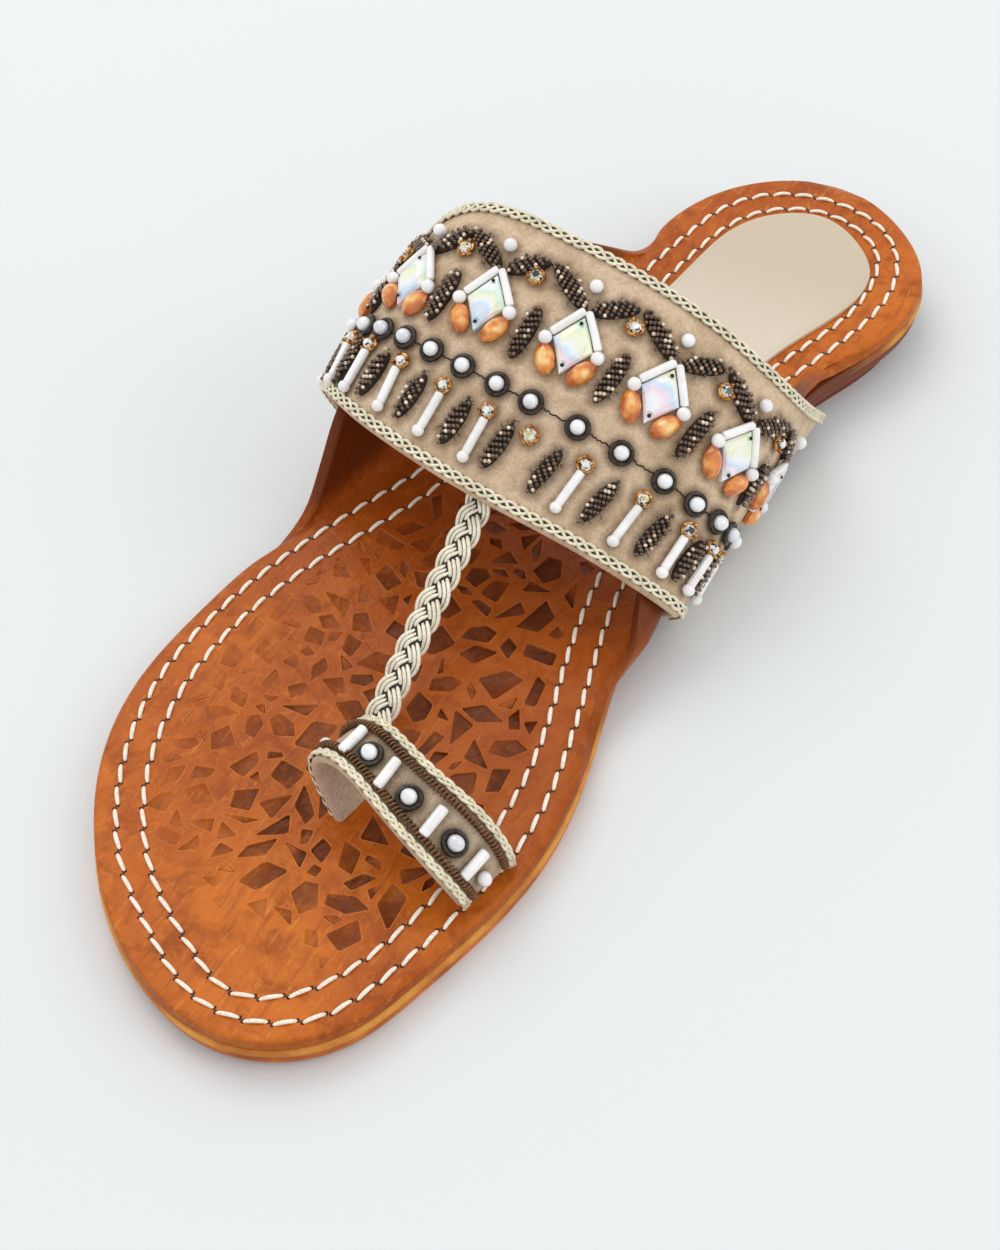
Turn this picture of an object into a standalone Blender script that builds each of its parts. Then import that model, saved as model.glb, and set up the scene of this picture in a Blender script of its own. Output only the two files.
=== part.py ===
"""A woman's kolhapuri sandal for the right foot, built up from layers of leather.

X runs across the foot, +X to its inner (medial) side, -Y to the toe, +Z up. The floor is z = 0 and
the origin is the middle of the footprint. Sizes are in millimetres and become metres in add_mesh.
"""
import math

import bmesh
import bpy
import numpy as np

MM = 0.001
MIDDLE = np.array((0.8, 0.6, 0.0))      # middle of the footprint in the tables' own coordinates
GAP = 0.3                      # clearance between two pieces that touch

# Sole: one outline for every layer, a row for each station along the foot
TOE_TIP = (7.8, -125.0)
HEEL_TIP = (19.3, 126.2)
SOLE_ROWS = (
    # y, lateral x, medial x
    (-121.0, -8.4, 20.6),
    (-113.0, -21.2, 28.6),
    (-100.0, -33.8, 33.8),
    (-85.0, -43.0, 38.2),
    (-65.0, -48.0, 41.5),
    (-45.0, -47.0, 39.8),
    (-25.0, -43.9, 35.2),
    (0.0, -37.4, 32.4),
    (25.0, -29.6, 35.0),
    (45.0, -24.0, 37.2),
    (60.0, -19.2, 39.2),
    (72.0, -15.7, 43.6),
    (88.0, -13.1, 49.2),
    (104.0, -9.8, 48.4),
    (117.0, -1.6, 39.4),
)
TOP_SOLE = 2.4                 # thickness of the leather that carries the foot
MIDSOLE = 2.2
OUTSOLE = 2.0
MIDSOLE_INSET = -0.5           # the middle layer stands a little proud of the top sole
OUTSOLE_INSET = 0.0
HEEL_RISE = 6.8                # how much higher the heel's seat lies than the forefoot's
RISE_START, RISE_END = 0.0, 60.0
TOE_SPRING = 2.0
SPRING_START = -92.0
HEEL_BREAST = 62.0             # front face of the heel
UPPER_LIFT = 3.2
UPPER_LIFT_INSET, LOWER_LIFT_INSET = 3.2, 3.8
FOREFOOT_TOP = OUTSOLE + MIDSOLE + TOP_SOLE + 2 * GAP
SOLE_STATIONS = 44

# Wings: the top sole turns up at both sides of the waist and stands inside the vamp strap
WING_ROWS = (
    # y, lateral height, medial height above the top sole's underside
    (-36.0, 0.0, 0.0),
    (-26.0, 0.0, 3.6),
    (-18.0, 0.6, 7.4),
    (-10.0, 7.8, 12.0),
    (-3.0, 16.5, 16.0),
    (4.0, 23.0, 18.5),
    (20.0, 24.0, 19.0),
    (36.0, 23.0, 17.0),
    (50.0, 22.0, 10.0),
    (62.0, 19.5, 4.0),
    (72.0, 11.8, 0.0),
    (80.0, 6.2, 0.0),
    (87.0, 0.0, 0.0),
)
WING_FILLET = 5.0
WING_BAND = 8.0                # width of the sole's margin that is drawn up into the wing
WING_POINTS = 7
WING_CLEARANCE = 0.6           # between a wing and the strap that it backs

# Instep form: the outer face of the vamp strap, a row for each station along the foot. Each row gives
# (x, z) at seven places round the form: medial hem, side and shoulder, crown, lateral shoulder, side and hem.
FORM_GIRTH = (0.0, 0.13, 0.27, 0.50, 0.66, 0.80, 1.0)      # where each place lies round the form
FORM_ROWS = (
    # y, then (x, z) at each place
    (-38, (42.6, 3.5), (42.8, 15), (24, 20), (-6, 24), (-31, 24), (-48, 16), (-49.4, 3.5)),
    (-13, (38.4, 3.5), (40.8, 14), (24, 25.5), (-6, 34.5), (-31, 34), (-43, 25), (-43.8, 3.5)),
    (2, (36.8, 3.5), (41.2, 18), (27, 32.5), (-5, 43), (-30, 41), (-43.2, 30), (-39.6, 3.5)),
    (19, (38.6, 3.5), (42.8, 23), (30.2, 41), (-4.5, 52.5), (-29, 49.5), (-42.8, 35), (-34.8, 3.5)),
    (36, (40.4, 4.5), (43.6, 27), (30, 47), (-6, 59.7), (-27, 56.8), (-39.2, 40), (-29.8, 4.5)),
    (62, (43.2, 7.4), (43.8, 32), (29, 55), (-5, 70), (-21, 64), (-32, 42), (-22, 7.4)),
)
STRAP_FRONT = (-2.8, -9.0, -12.4, -13.5, -8.1, 0.5, 9.8)   # y of the front edge at each place
STRAP_BACK = (62.0, 44.0, 36.9, 36.2, 37.5, 39.4, 59.0)    # y of the back edge at each place
STRAP_WALL = 2.6
STRAP_STEPS = 34
STRAP_ROWS = 6

# Braided trim along both edges of the vamp strap and the toe ring
TRIM_WIDTH = 2.9
TRIM_WALL = 1.1
RING_TRIM_WIDTH = 2.2

# Toe ring: rear edge and front edge of the outer face, a row for each place round the big toe
RING_ROWS = (
    # rear (x, y, z), front (x, y, z)
    ((38.0, -69.2, 5.3), (33.8, -82.0, 5.3)),
    ((37.6, -69.8, 12.4), (34.4, -84.0, 11.4)),
    ((31.0, -69.5, 21.2), (28.4, -84.0, 18.8)),
    ((20.0, -67.3, 25.0), (18.2, -80.6, 22.2)),
    ((6.0, -62.3, 23.0), (3.4, -74.8, 23.4)),
    ((1.6, -62.8, 14.8), (-1.4, -74.4, 16.8)),
    ((7.0, -64.4, 5.3), (4.6, -76.8, 5.3)),
)
RING_GIRTH = (0.0, 0.13, 0.30, 0.48, 0.72, 0.87, 1.0)
RING_WALL = 1.8
RING_BAND = 14.5               # width of the ring's band
RING_TRIM_SPAN = (0.07, 0.93)  # the stretch of the girth that carries a trim
RING_STEPS = 22
RING_ROWS_ACROSS = 3
SLIT_CLEARANCE = 0.35
SLIT_GIRTHS = ((-0.03, 0.0, 0.04, 0.09), (0.91, 0.96, 1.0, 1.03))   # each foot's stretch of the ring

# Plait that ties the toe ring to the vamp strap
BRAID_PATH = ((0.2, -8.5, 31.4), (0.2, -14.6, 28.0), (0.4, -30.0, 21.4), (1.0, -48.0, 14.0),
              (1.8, -61.8, 9.0))
BRAID_WIDTH = 5.4
BRAID_HEIGHT = 2.4
BRAID_PITCH = 4.2              # length of one crossing of the plait
BRAID_RELIEF = 0.15            # share by which a flank thins between two crossings
BRAID_SIDES = 8

# Beadwork on the vamp strap: places are (girth, share), where share runs from front to back edge
BEAD_LIFT = 0.35
MOTIFS = 8
MOTIF_GIRTH = 0.43             # the crystal motif at the middle of the instep
MOTIF_PITCH = 0.1225           # girth from one crystal motif to the next
MOTIF_SHARE = 0.604
MOTIF_OUTLINE = ((0.0, 6.2), (5.6, -0.4), (5.2, -3.6), (2.8, -7.2), (0.0, -5.8), (-2.8, -7.2),
                 (-5.2, -3.6), (-5.6, -0.4))
ZIGZAG_VALLEY, ZIGZAG_PEAK = 0.739, 0.859
ZIGZAG_THICK, ZIGZAG_THIN = 0.036, 0.010
MID_LEAF_SHARE = 0.574
LOW_LEAF_SHARE = 0.19
CHAIN_SHARE = 0.37
CHAIN_GIRTHS = (0.06, 0.105, 0.15, 0.197, 0.247, 0.31, 0.375, 0.445, 0.495, 0.545, 0.592, 0.637, 0.68,
                0.722, 0.765, 0.81, 0.855, 0.90, 0.943)
CHAIN_RADIUS = 2.5
THREAD_RADIUS = 0.4
MATCHSTICK_GIRTHS = (0.08, 0.13, 0.185, 0.255, 0.34, 0.49, 0.556, 0.624, 0.69, 0.745, 0.80, 0.857, 0.912)
LOW_LEAF_GIRTHS = (0.105, 0.1575, 0.22, 0.2975, 0.3825, 0.4575, 0.523, 0.59, 0.657, 0.7175)
MATCHSTICK_SHARE = 0.19
MID_LEAF, LOW_LEAF = (12.6, 4.2), (11.2, 4.0)              # length and width
LEAF_SLANT = 8.0
BAR_LENGTH, BAR_WIDTH = 13.4, 2.4
BEAD_TAPER = 0.9               # a bead's top against its base
BEAD_HEIGHTS = {"motif": 2.6, "leaf": 1.6, "bar": 2.0, "ball": 2.6}

# Beadwork on the toe ring, along its girth
RING_BEAD_SHARE = 0.44
RING_BAR_GIRTHS = (0.192, 0.357, 0.54, 0.69)
RING_BALL_GIRTHS = (0.275, 0.45, 0.617)
RING_BAR_LENGTH, RING_BALL_SIZE = 6.4, 4.6

# Heel pad
PAD_WALL = 1.0
PAD_FRONT = 44.0
PAD_MARGIN, PAD_SHIFT = 12.6, 1.0

COLOURS = {
    "tan_leather": ((0.56, 0.15, 0.03), 0.5, 0.0),
    "layer_leather": ((0.62, 0.28, 0.06), 0.6, 0.0),
    "dark_leather": ((0.20, 0.06, 0.02), 0.6, 0.0),
    "velvet": ((0.47, 0.35, 0.23), 0.9, 0.0),
    "gold_thread": ((0.55, 0.48, 0.28), 0.4, 0.6),
    "pad_leather": ((0.60, 0.52, 0.42), 0.35, 0.3),
    "crystal": ((0.85, 0.88, 0.90), 0.1, 0.0),
    "bronze_bead": ((0.12, 0.08, 0.05), 0.3, 0.7),
    "white_bead": ((0.86, 0.85, 0.82), 0.2, 0.0),
}


# ---------------------------------------------------------------- curves and grids

def spline(knots, values, at):
    """Natural cubic spline through values (one row a knot), read at the places in at."""
    knots, values = np.asarray(knots, float), np.asarray(values, float)
    shape = values.shape[1:]
    values = values.reshape(len(knots), -1)
    gaps = np.diff(knots)
    slopes = np.diff(values, axis=0) / gaps[:, None]
    matrix = np.eye(len(knots))
    right = np.zeros_like(values)
    for i in range(1, len(knots) - 1):
        matrix[i, i - 1:i + 2] = gaps[i - 1], 2 * (gaps[i - 1] + gaps[i]), gaps[i]
        right[i] = 6 * (slopes[i] - slopes[i - 1])
    bends = np.linalg.solve(matrix, right)
    at = np.atleast_1d(np.asarray(at, float))
    k = np.clip(np.searchsorted(knots, at) - 1, 0, len(knots) - 2)
    a, b, h = (at - knots[k])[:, None], (knots[k + 1] - at)[:, None], gaps[k][:, None]
    low, high = bends[k], bends[k + 1]
    curve = (low * b ** 3 + high * a ** 3) / (6 * h) \
        + (values[k] / h - low * h / 6) * b + (values[k + 1] / h - high * h / 6) * a
    return curve.reshape((len(at),) + shape)


def ramp(value):
    """Smooth step from 0 to 1."""
    t = np.clip(value, 0.0, 1.0)
    return t * t * (3.0 - 2.0 * t)


def resample(points, count):
    """The same polyline with count points evenly spaced along it."""
    points = np.asarray(points, float)
    run = np.concatenate([[0.0], np.cumsum(np.linalg.norm(np.diff(points, axis=0), axis=1))])
    at = np.linspace(0.0, run[-1], count)
    return np.stack([np.interp(at, run, points[:, k]) for k in range(points.shape[1])], axis=1)


def grid_normals(grid):
    """Unit normals of a grid of points, from its neighbours along both ways."""
    along = np.gradient(grid, axis=0)
    across = np.gradient(grid, axis=1)
    normals = np.cross(along, across)
    return normals / np.linalg.norm(normals, axis=2, keepdims=True)


# ---------------------------------------------------------------- objects

def new_collection(name):
    collection = bpy.data.collections.new(name)
    bpy.context.scene.collection.children.link(collection)
    return collection


def material(name):
    found = bpy.data.materials.get(name)
    if found:
        return found
    colour, roughness, metallic = COLOURS[name]
    made = bpy.data.materials.new(name)
    made.use_nodes = True
    shader = made.node_tree.nodes["Principled BSDF"]
    shader.inputs["Base Color"].default_value = (*colour, 1.0)
    shader.inputs["Roughness"].default_value = roughness
    shader.inputs["Metallic"].default_value = metallic
    return made


def add_mesh(name, vertices, faces, slot, collection):
    mesh = bpy.data.meshes.new(name)
    placed = (np.array(vertices, float) - MIDDLE) * MM
    mesh.from_pydata(placed.tolist(), [], faces)
    mesh.materials.append(material(slot))
    made = bpy.data.objects.new(name, mesh)
    collection.objects.link(made)
    tidy = bmesh.new()
    tidy.from_mesh(mesh)
    bmesh.ops.recalc_face_normals(tidy, faces=tidy.faces)
    tidy.to_mesh(mesh)
    tidy.free()
    mesh.shade_smooth()
    mesh.set_sharp_from_angle(angle=math.radians(35))
    return made


def add_shell(name, outer, inner, slot, collection):
    """Closed wall between two grids of points with the same shape."""
    rows, columns = outer.shape[:2]
    vertices = np.concatenate([outer.reshape(-1, 3), inner.reshape(-1, 3)])
    offset = rows * columns
    faces = []
    for i in range(rows - 1):
        for j in range(columns - 1):
            a, b = i * columns + j, (i + 1) * columns + j
            faces.append((a, b, b + 1, a + 1))
            faces.append((offset + a, offset + a + 1, offset + b + 1, offset + b))
    rim = [j for j in range(columns)] \
        + [i * columns + columns - 1 for i in range(1, rows)] \
        + [(rows - 1) * columns + j for j in range(columns - 2, -1, -1)] \
        + [i * columns for i in range(rows - 2, 0, -1)]
    for here, there in zip(rim, rim[1:] + rim[:1]):
        faces.append((here, there, offset + there, offset + here))
    return add_mesh(name, vertices, faces, slot, collection)


def cut(target, cutter):
    modifier = target.modifiers.new("cut", "BOOLEAN")
    modifier.operation = "DIFFERENCE"
    modifier.solver = "EXACT"
    modifier.object = cutter


# ---------------------------------------------------------------- sole

def sole_outline(inset=0.0, count=360):
    """Closed outline of the sole, drawn in by inset, from the toe up its lateral side."""
    lateral = [(row[1], row[0]) for row in SOLE_ROWS]
    medial = [(row[2], row[0]) for row in reversed(SOLE_ROWS)]
    corners = np.array([TOE_TIP] + lateral + [HEEL_TIP] + medial)
    around = np.concatenate([corners[-3:], corners, corners[:4]])
    run = np.concatenate([[0.0], np.cumsum(np.linalg.norm(np.diff(around, axis=0), axis=1))])
    ring = spline(run, around, np.linspace(run[3], run[3 + len(corners)], count, endpoint=False))
    tangent = np.roll(ring, -1, axis=0) - np.roll(ring, 1, axis=0)
    tangent /= np.linalg.norm(tangent, axis=1)[:, None]
    inward = np.stack([tangent[:, 1], -tangent[:, 0]], axis=1)
    return ring + inward * inset


OUTLINE = sole_outline()


def span(outline, y):
    """Lateral and medial x where a closed outline crosses the station y."""
    crossings = []
    for a, b in zip(outline, np.roll(outline, -1, axis=0)):
        if (a[1] - y) * (b[1] - y) <= 0.0 and a[1] != b[1]:
            crossings.append(a[0] + (b[0] - a[0]) * (y - a[1]) / (b[1] - a[1]))
    return min(crossings), max(crossings)


def stations(outline, count, start=None, end=None):
    """Stations along the foot, closer together at the round ends."""
    low, high = outline[:, 1].min() + 0.25, outline[:, 1].max() - 0.25
    turns = np.linspace(0.0, math.pi, count)
    every = (low + high) / 2 - (high - low) / 2 * np.cos(turns)
    even = np.linspace(low, high, count)
    mixed = 0.72 * every + 0.28 * even
    if start is not None:
        mixed = np.concatenate([[start], mixed[mixed > start + 1.5]])
    if end is not None:
        mixed = np.concatenate([mixed[mixed < end - 1.5], [end]])
    return mixed


def seat_height(y):
    """Height of the top sole's upper face along the foot."""
    rise = HEEL_RISE * ramp((y - RISE_START) / (RISE_END - RISE_START))
    spring = TOE_SPRING * np.clip((SPRING_START - y) / (SPRING_START - TOE_TIP[1]), 0.0, None) ** 2
    return FOREFOOT_TOP + rise + spring


def add_layer(name, inset, top_drop, thickness, slot, collection, start=None, count=SOLE_STATIONS):
    """A flat layer of the sole, its upper face top_drop below the seat."""
    outline = sole_outline(inset)
    upper, lower = [], []
    for y in stations(outline, count, start=start):
        lateral, medial = span(outline, y)
        z = seat_height(y) - top_drop
        upper.append([(lateral, y, z), (medial, y, z)])
        lower.append([(lateral, y, z - thickness), (medial, y, z - thickness)])
    return add_shell(name, np.array(upper), np.array(lower), slot, collection)


def form_section(y):
    """The instep form's cross-section at the station y: (x, z) at each place of FORM_GIRTH."""
    rows = np.array([row[1:] for row in FORM_ROWS])
    return spline([row[0] for row in FORM_ROWS], rows, y)[0]


def form_side(y, side, inset):
    """Dense (x, z) run up one side of the form from its hem, drawn in by inset."""
    girth = np.linspace(0.0, 0.34, 60) if side > 0 else np.linspace(1.0, 0.60, 60)
    run = spline(FORM_GIRTH, form_section(y), girth)
    tangent = np.gradient(run, axis=0)
    tangent /= np.linalg.norm(tangent, axis=1)[:, None]
    inward = np.stack([-tangent[:, 1], tangent[:, 0]], axis=1) * side
    return run + inward * inset


def wing_wall(y, side, height, base):
    """Points up the outer face of a wing, from the sole's underside to the wing's rim."""
    run = form_side(y, side, STRAP_WALL + WING_CLEARANCE)
    z = base + height * np.linspace(0.0, 1.0, 5)
    return np.stack([np.interp(z, run[:, 1], run[:, 0]), z], axis=1)


def margin_path(y, side, edge, base):
    """Half of the top sole's lower face at one station: from inside its margin out to its rim."""
    column = 2 if side > 0 else 1
    height = np.interp(y, [row[0] for row in WING_ROWS], [row[column] for row in WING_ROWS])
    height = height if height > 0.05 else 0.0
    lateral, medial = span(OUTLINE, y)
    band = min(WING_BAND, 0.3 * (medial - lateral))
    flat = np.array([edge - side * band, base])
    if height == 0.0:
        return resample([flat, (edge, base)], WING_POINTS)
    wall = wing_wall(y, side, height, base)
    share = ramp(height / 10.0)
    wall[:, 0] = edge + (wall[:, 0] - edge) * share
    fillet = min(WING_FILLET, 0.8 * height)
    corner = wall[0]
    start = corner - (side * fillet, 0.0)
    rise = corner[1] + min(fillet, height * 0.6)
    end = np.array([np.interp(rise, wall[:, 1], wall[:, 0]), rise])
    arc = [(1 - t) ** 2 * start + 2 * t * (1 - t) * corner + t * t * end for t in np.linspace(0, 1, 7)]
    above = [point for point in wall if point[1] > rise + 0.2]
    return resample([flat, *arc, *above], WING_POINTS)


def top_sole_grids():
    """Lower and upper face of the top sole with both its wings."""
    lower = []
    for y in stations(OUTLINE, SOLE_STATIONS):
        lateral, medial = span(OUTLINE, y)
        base = seat_height(y) - TOP_SOLE
        left = margin_path(y, -1, lateral, base)[::-1]
        right = margin_path(y, 1, medial, base)
        middle = (left[-1] + right[0]) / 2
        row = np.concatenate([left, [middle], right])
        lower.append([(x, y, z) for x, z in row])
    lower = np.array(lower)
    normals = grid_normals(lower)
    normals *= np.where(normals[:, 8:9, 2:3] < 0.0, -1.0, 1.0)
    return lower, lower + normals * TOP_SOLE


def foot_slit(number, girths):
    """Cutter for the slit that takes one foot of the toe ring: the foot's own shape, grown a little."""
    overrun = SLIT_CLEARANCE / RING_BAND
    shares = (-overrun, 0.5, 1.0 + overrun)
    outer = ring_face(girths, shares, SLIT_CLEARANCE)
    inner = ring_face(girths, shares, -RING_WALL - SLIT_CLEARANCE)
    cutter = add_shell(f"slit_{number}", outer, inner, "tan_leather", CUTTERS)
    cutter.hide_render = True
    cutter.display_type = "WIRE"
    return cutter


def add_top_sole(collection):
    lower, upper = top_sole_grids()
    sole = add_shell("top_sole", upper, lower, "tan_leather", collection)
    for number, girths in enumerate(SLIT_GIRTHS, 1):
        cut(sole, foot_slit(number, np.array(girths)))
    return sole


def add_heel_pad(collection):
    outline = sole_outline(PAD_MARGIN, 240)
    upper, lower = [], []
    for y in stations(outline, 40, start=PAD_FRONT):
        lateral, medial = span(outline, y)
        z = seat_height(y) + GAP
        across = np.linspace(lateral, medial, 3) + PAD_SHIFT
        upper.append([(x, y, z + PAD_WALL) for x in across])
        lower.append([(x, y, z) for x in across])
    return add_shell("heel_pad", np.array(upper), np.array(lower), "pad_leather", collection)


# ---------------------------------------------------------------- vamp strap

def strap_point_rows(girths, shares):
    """Outer face of the vamp strap: a row for each share of the way from front to back edge."""
    front = spline(FORM_GIRTH, STRAP_FRONT, girths)
    back = spline(FORM_GIRTH, STRAP_BACK, girths)
    grid = []
    for girth, low, high in zip(girths, front, back):
        column = []
        for share in shares:
            y = low + (high - low) * share
            x, z = spline(FORM_GIRTH, form_section(y), girth)[0]
            column.append((x, float(y), z))
        grid.append(column)
    return np.array(grid)


def strap_face(girths, shares, lift=0.0):
    """The outer face, moved out by lift; girths and shares both rise."""
    grid = strap_point_rows(girths, shares)
    return grid - grid_normals(grid) * lift


def add_vamp_strap(collection):
    girths = np.linspace(0.0, 1.0, STRAP_STEPS)
    shares = np.linspace(0.0, 1.0, STRAP_ROWS)
    outer = strap_face(girths, shares)
    inner = strap_face(girths, shares, -STRAP_WALL)
    return add_shell("vamp_strap", outer, inner, "velvet", collection)


STRAP_GIRTH = float(np.linalg.norm(np.diff(strap_point_rows(np.linspace(0.0, 1.0, 40), (0.5,)), axis=0),
                                   axis=2).sum())
STRAP_WIDTH = float(np.linalg.norm(np.diff(strap_point_rows((0.43,), np.linspace(0.0, 1.0, 12)), axis=1),
                                   axis=2).sum())


def add_strap_trim(name, near_front, collection):
    girths = np.linspace(0.0, 1.0, STRAP_STEPS)
    share = TRIM_WIDTH / STRAP_WIDTH
    shares = (0.0, share) if near_front else (1.0 - share, 1.0)
    lower = strap_face(girths, shares, GAP)
    upper = strap_face(girths, shares, GAP + TRIM_WALL)
    return add_shell(name, upper, lower, "gold_thread", collection)


# ---------------------------------------------------------------- toe ring and plait

def ring_face(girths, shares, lift=0.0):
    rows = np.array(RING_ROWS)
    edges = spline(RING_GIRTH, rows, girths)
    shares = np.asarray(shares, float)[None, :, None]
    grid = edges[:, :1] * (1.0 - shares) + edges[:, 1:] * shares
    return grid + grid_normals(grid) * lift


def add_toe_ring(collection):
    girths = np.linspace(0.0, 1.0, RING_STEPS)
    shares = np.linspace(0.0, 1.0, RING_ROWS_ACROSS)
    outer, inner = ring_face(girths, shares), ring_face(girths, shares, -RING_WALL)
    return add_shell("toe_ring", outer, inner, "velvet", collection)


RING_RUN = float(np.linalg.norm(np.diff(ring_face(np.linspace(0.0, 1.0, 40), (0.4, 0.5, 0.6))[:, 1], axis=0),
                                axis=1).sum())


def add_ring_trim(name, near_rear, collection):
    girths = np.linspace(*RING_TRIM_SPAN, RING_STEPS)
    share = RING_TRIM_WIDTH / RING_BAND
    shares = (0.0, share) if near_rear else (1.0 - share, 1.0)
    lower, upper = ring_face(girths, shares, GAP), ring_face(girths, shares, GAP + TRIM_WALL)
    return add_shell(name, upper, lower, "gold_thread", collection)


def add_braid(collection):
    """Plait as one solid: an oval bar whose two flanks swell in turn."""
    path = np.array(BRAID_PATH)
    run = np.concatenate([[0.0], np.cumsum(np.linalg.norm(np.diff(path, axis=0), axis=1))])
    count = int(run[-1] / BRAID_PITCH * 4) + 1
    line = spline(run, path, np.linspace(0.0, run[-1], count))
    ahead = np.gradient(line, axis=0)
    ahead /= np.linalg.norm(ahead, axis=1)[:, None]
    side = np.cross(ahead, (0.0, 0.0, 1.0))
    side /= np.linalg.norm(side, axis=1)[:, None]
    up = np.cross(side, ahead)
    turns = np.linspace(0.0, 2 * math.pi, BRAID_SIDES, endpoint=False)
    vertices, faces = [], []
    for k in range(count):
        beat = math.pi * k / 2
        for turn in turns:
            flank = 1.0 if math.cos(turn) > 0.0 else -1.0
            swell = 1.0 - BRAID_RELIEF * (1.0 - flank * math.cos(beat)) / 2
            across = math.cos(turn) * BRAID_WIDTH / 2 * swell
            height = math.sin(turn) * BRAID_HEIGHT / 2 * swell
            vertices.append(line[k] + side[k] * across + up[k] * height)
    for k in range(count - 1):
        for j in range(BRAID_SIDES):
            a, b = k * BRAID_SIDES + j, k * BRAID_SIDES + (j + 1) % BRAID_SIDES
            faces.append((a, b, b + BRAID_SIDES, a + BRAID_SIDES))
    faces.append(tuple(range(BRAID_SIDES)))
    faces.append(tuple(range((count - 1) * BRAID_SIDES, count * BRAID_SIDES))[::-1])
    return add_mesh("braid_link", vertices, faces, "gold_thread", collection)


# ---------------------------------------------------------------- beadwork

def leaf_outline(length, width, slant):
    """Pointed leaf, its tip turned by slant degrees from the way across the strap."""
    turn = math.radians(slant)
    outline = []
    for k in range(8):
        way = 2 * math.pi * k / 8
        across = width / 2 * math.sin(way) * abs(math.sin(way)) ** 0.3
        along = length / 2 * math.cos(way)
        outline.append((across * math.cos(turn) + along * math.sin(turn),
                        along * math.cos(turn) - across * math.sin(turn)))
    return outline


def bar_outline(length, width):
    return [(width / 2, length / 2), (width / 2, -length / 2), (-width / 2, -length / 2),
            (-width / 2, length / 2)]


def round_outline(size, corners=8):
    turns = [2 * math.pi * k / corners for k in range(corners)]
    return [(size / 2 * math.sin(turn), size / 2 * math.cos(turn)) for turn in turns]


def strap_spot(girth, share, dx, dy, lift):
    """Point on the strap, dx and dy millimetres from a place, along its girth and its width."""
    at = np.array([girth - 0.01, girth, girth + 0.01]) - dx / STRAP_GIRTH
    shares = np.array([share - 0.02, share, share + 0.02]) + dy / STRAP_WIDTH
    return strap_face(at, shares, lift)[1, 1]


def ring_spot(girth, share, dx, dy, lift):
    at = np.array([girth - 0.02, girth, girth + 0.02]) + dx / RING_RUN
    shares = np.array([share - 0.1, share, share + 0.1]) + dy / RING_BAND
    return ring_face(at, shares, lift)[1, 1]


def add_bead(name, spot, girth, share, outline, height, slot, collection):
    """A flat-backed bead of the given outline, moulded to the face that it is sewn on."""
    outline = list(outline) + [(0.0, 0.0)]
    lower = [spot(girth, share, dx, dy, BEAD_LIFT) for dx, dy in outline]
    upper = [spot(girth, share, BEAD_TAPER * dx, BEAD_TAPER * dy, BEAD_LIFT + height)
             for dx, dy in outline]
    centre, offset = len(outline) - 1, len(outline)
    faces = []
    for k in range(centre):
        following = (k + 1) % centre
        faces.append((k, following, offset + following, offset + k))
        faces.append((k, centre, following))
        faces.append((offset + k, offset + following, offset + centre))
    return add_mesh(name, lower + upper, faces, slot, collection)


def add_ribbon(name, rows, height, slot, collection):
    """One body along the strap's girth: rows of (girth, middle share, half width as a share)."""
    lower, upper = [], []
    for girth, middle, half in rows:
        for grid, lift in ((lower, BEAD_LIFT), (upper, BEAD_LIFT + height)):
            shares = np.array([middle - half, middle, middle + half])
            face = strap_face(np.array([girth - 0.01, girth, girth + 0.01]), shares, lift)
            grid.append(face[1])
    return add_shell(name, np.array(upper), np.array(lower), slot, collection)


def chain_rows():
    """Ringed balls on one thread, as a ribbon that swells at every ball."""
    reach = CHAIN_RADIUS / STRAP_GIRTH
    rows = []
    for girth in CHAIN_GIRTHS:
        for step in (-1.0, -0.6, 0.0, 0.6, 1.0):
            half = max(CHAIN_RADIUS * math.sqrt(1.0 - step * step), THREAD_RADIUS)
            rows.append((girth + step * reach, CHAIN_SHARE, half / STRAP_WIDTH))
    return rows


def zigzag_rows():
    """Two leaves a motif, meeting at every peak and valley."""
    rows = []
    for k in range(-6, 8):
        start, end = MOTIF_GIRTH + k * MOTIF_PITCH / 2, MOTIF_GIRTH + (k + 1) * MOTIF_PITCH / 2
        low, high = (ZIGZAG_VALLEY, ZIGZAG_PEAK) if k % 2 == 0 else (ZIGZAG_PEAK, ZIGZAG_VALLEY)
        for t in (0.0, 0.25, 0.5, 0.75):
            half = ZIGZAG_THIN + (ZIGZAG_THICK - ZIGZAG_THIN) * math.sin(math.pi * t)
            rows.append((start + (end - start) * t, low + (high - low) * t, half))
    return rows


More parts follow.
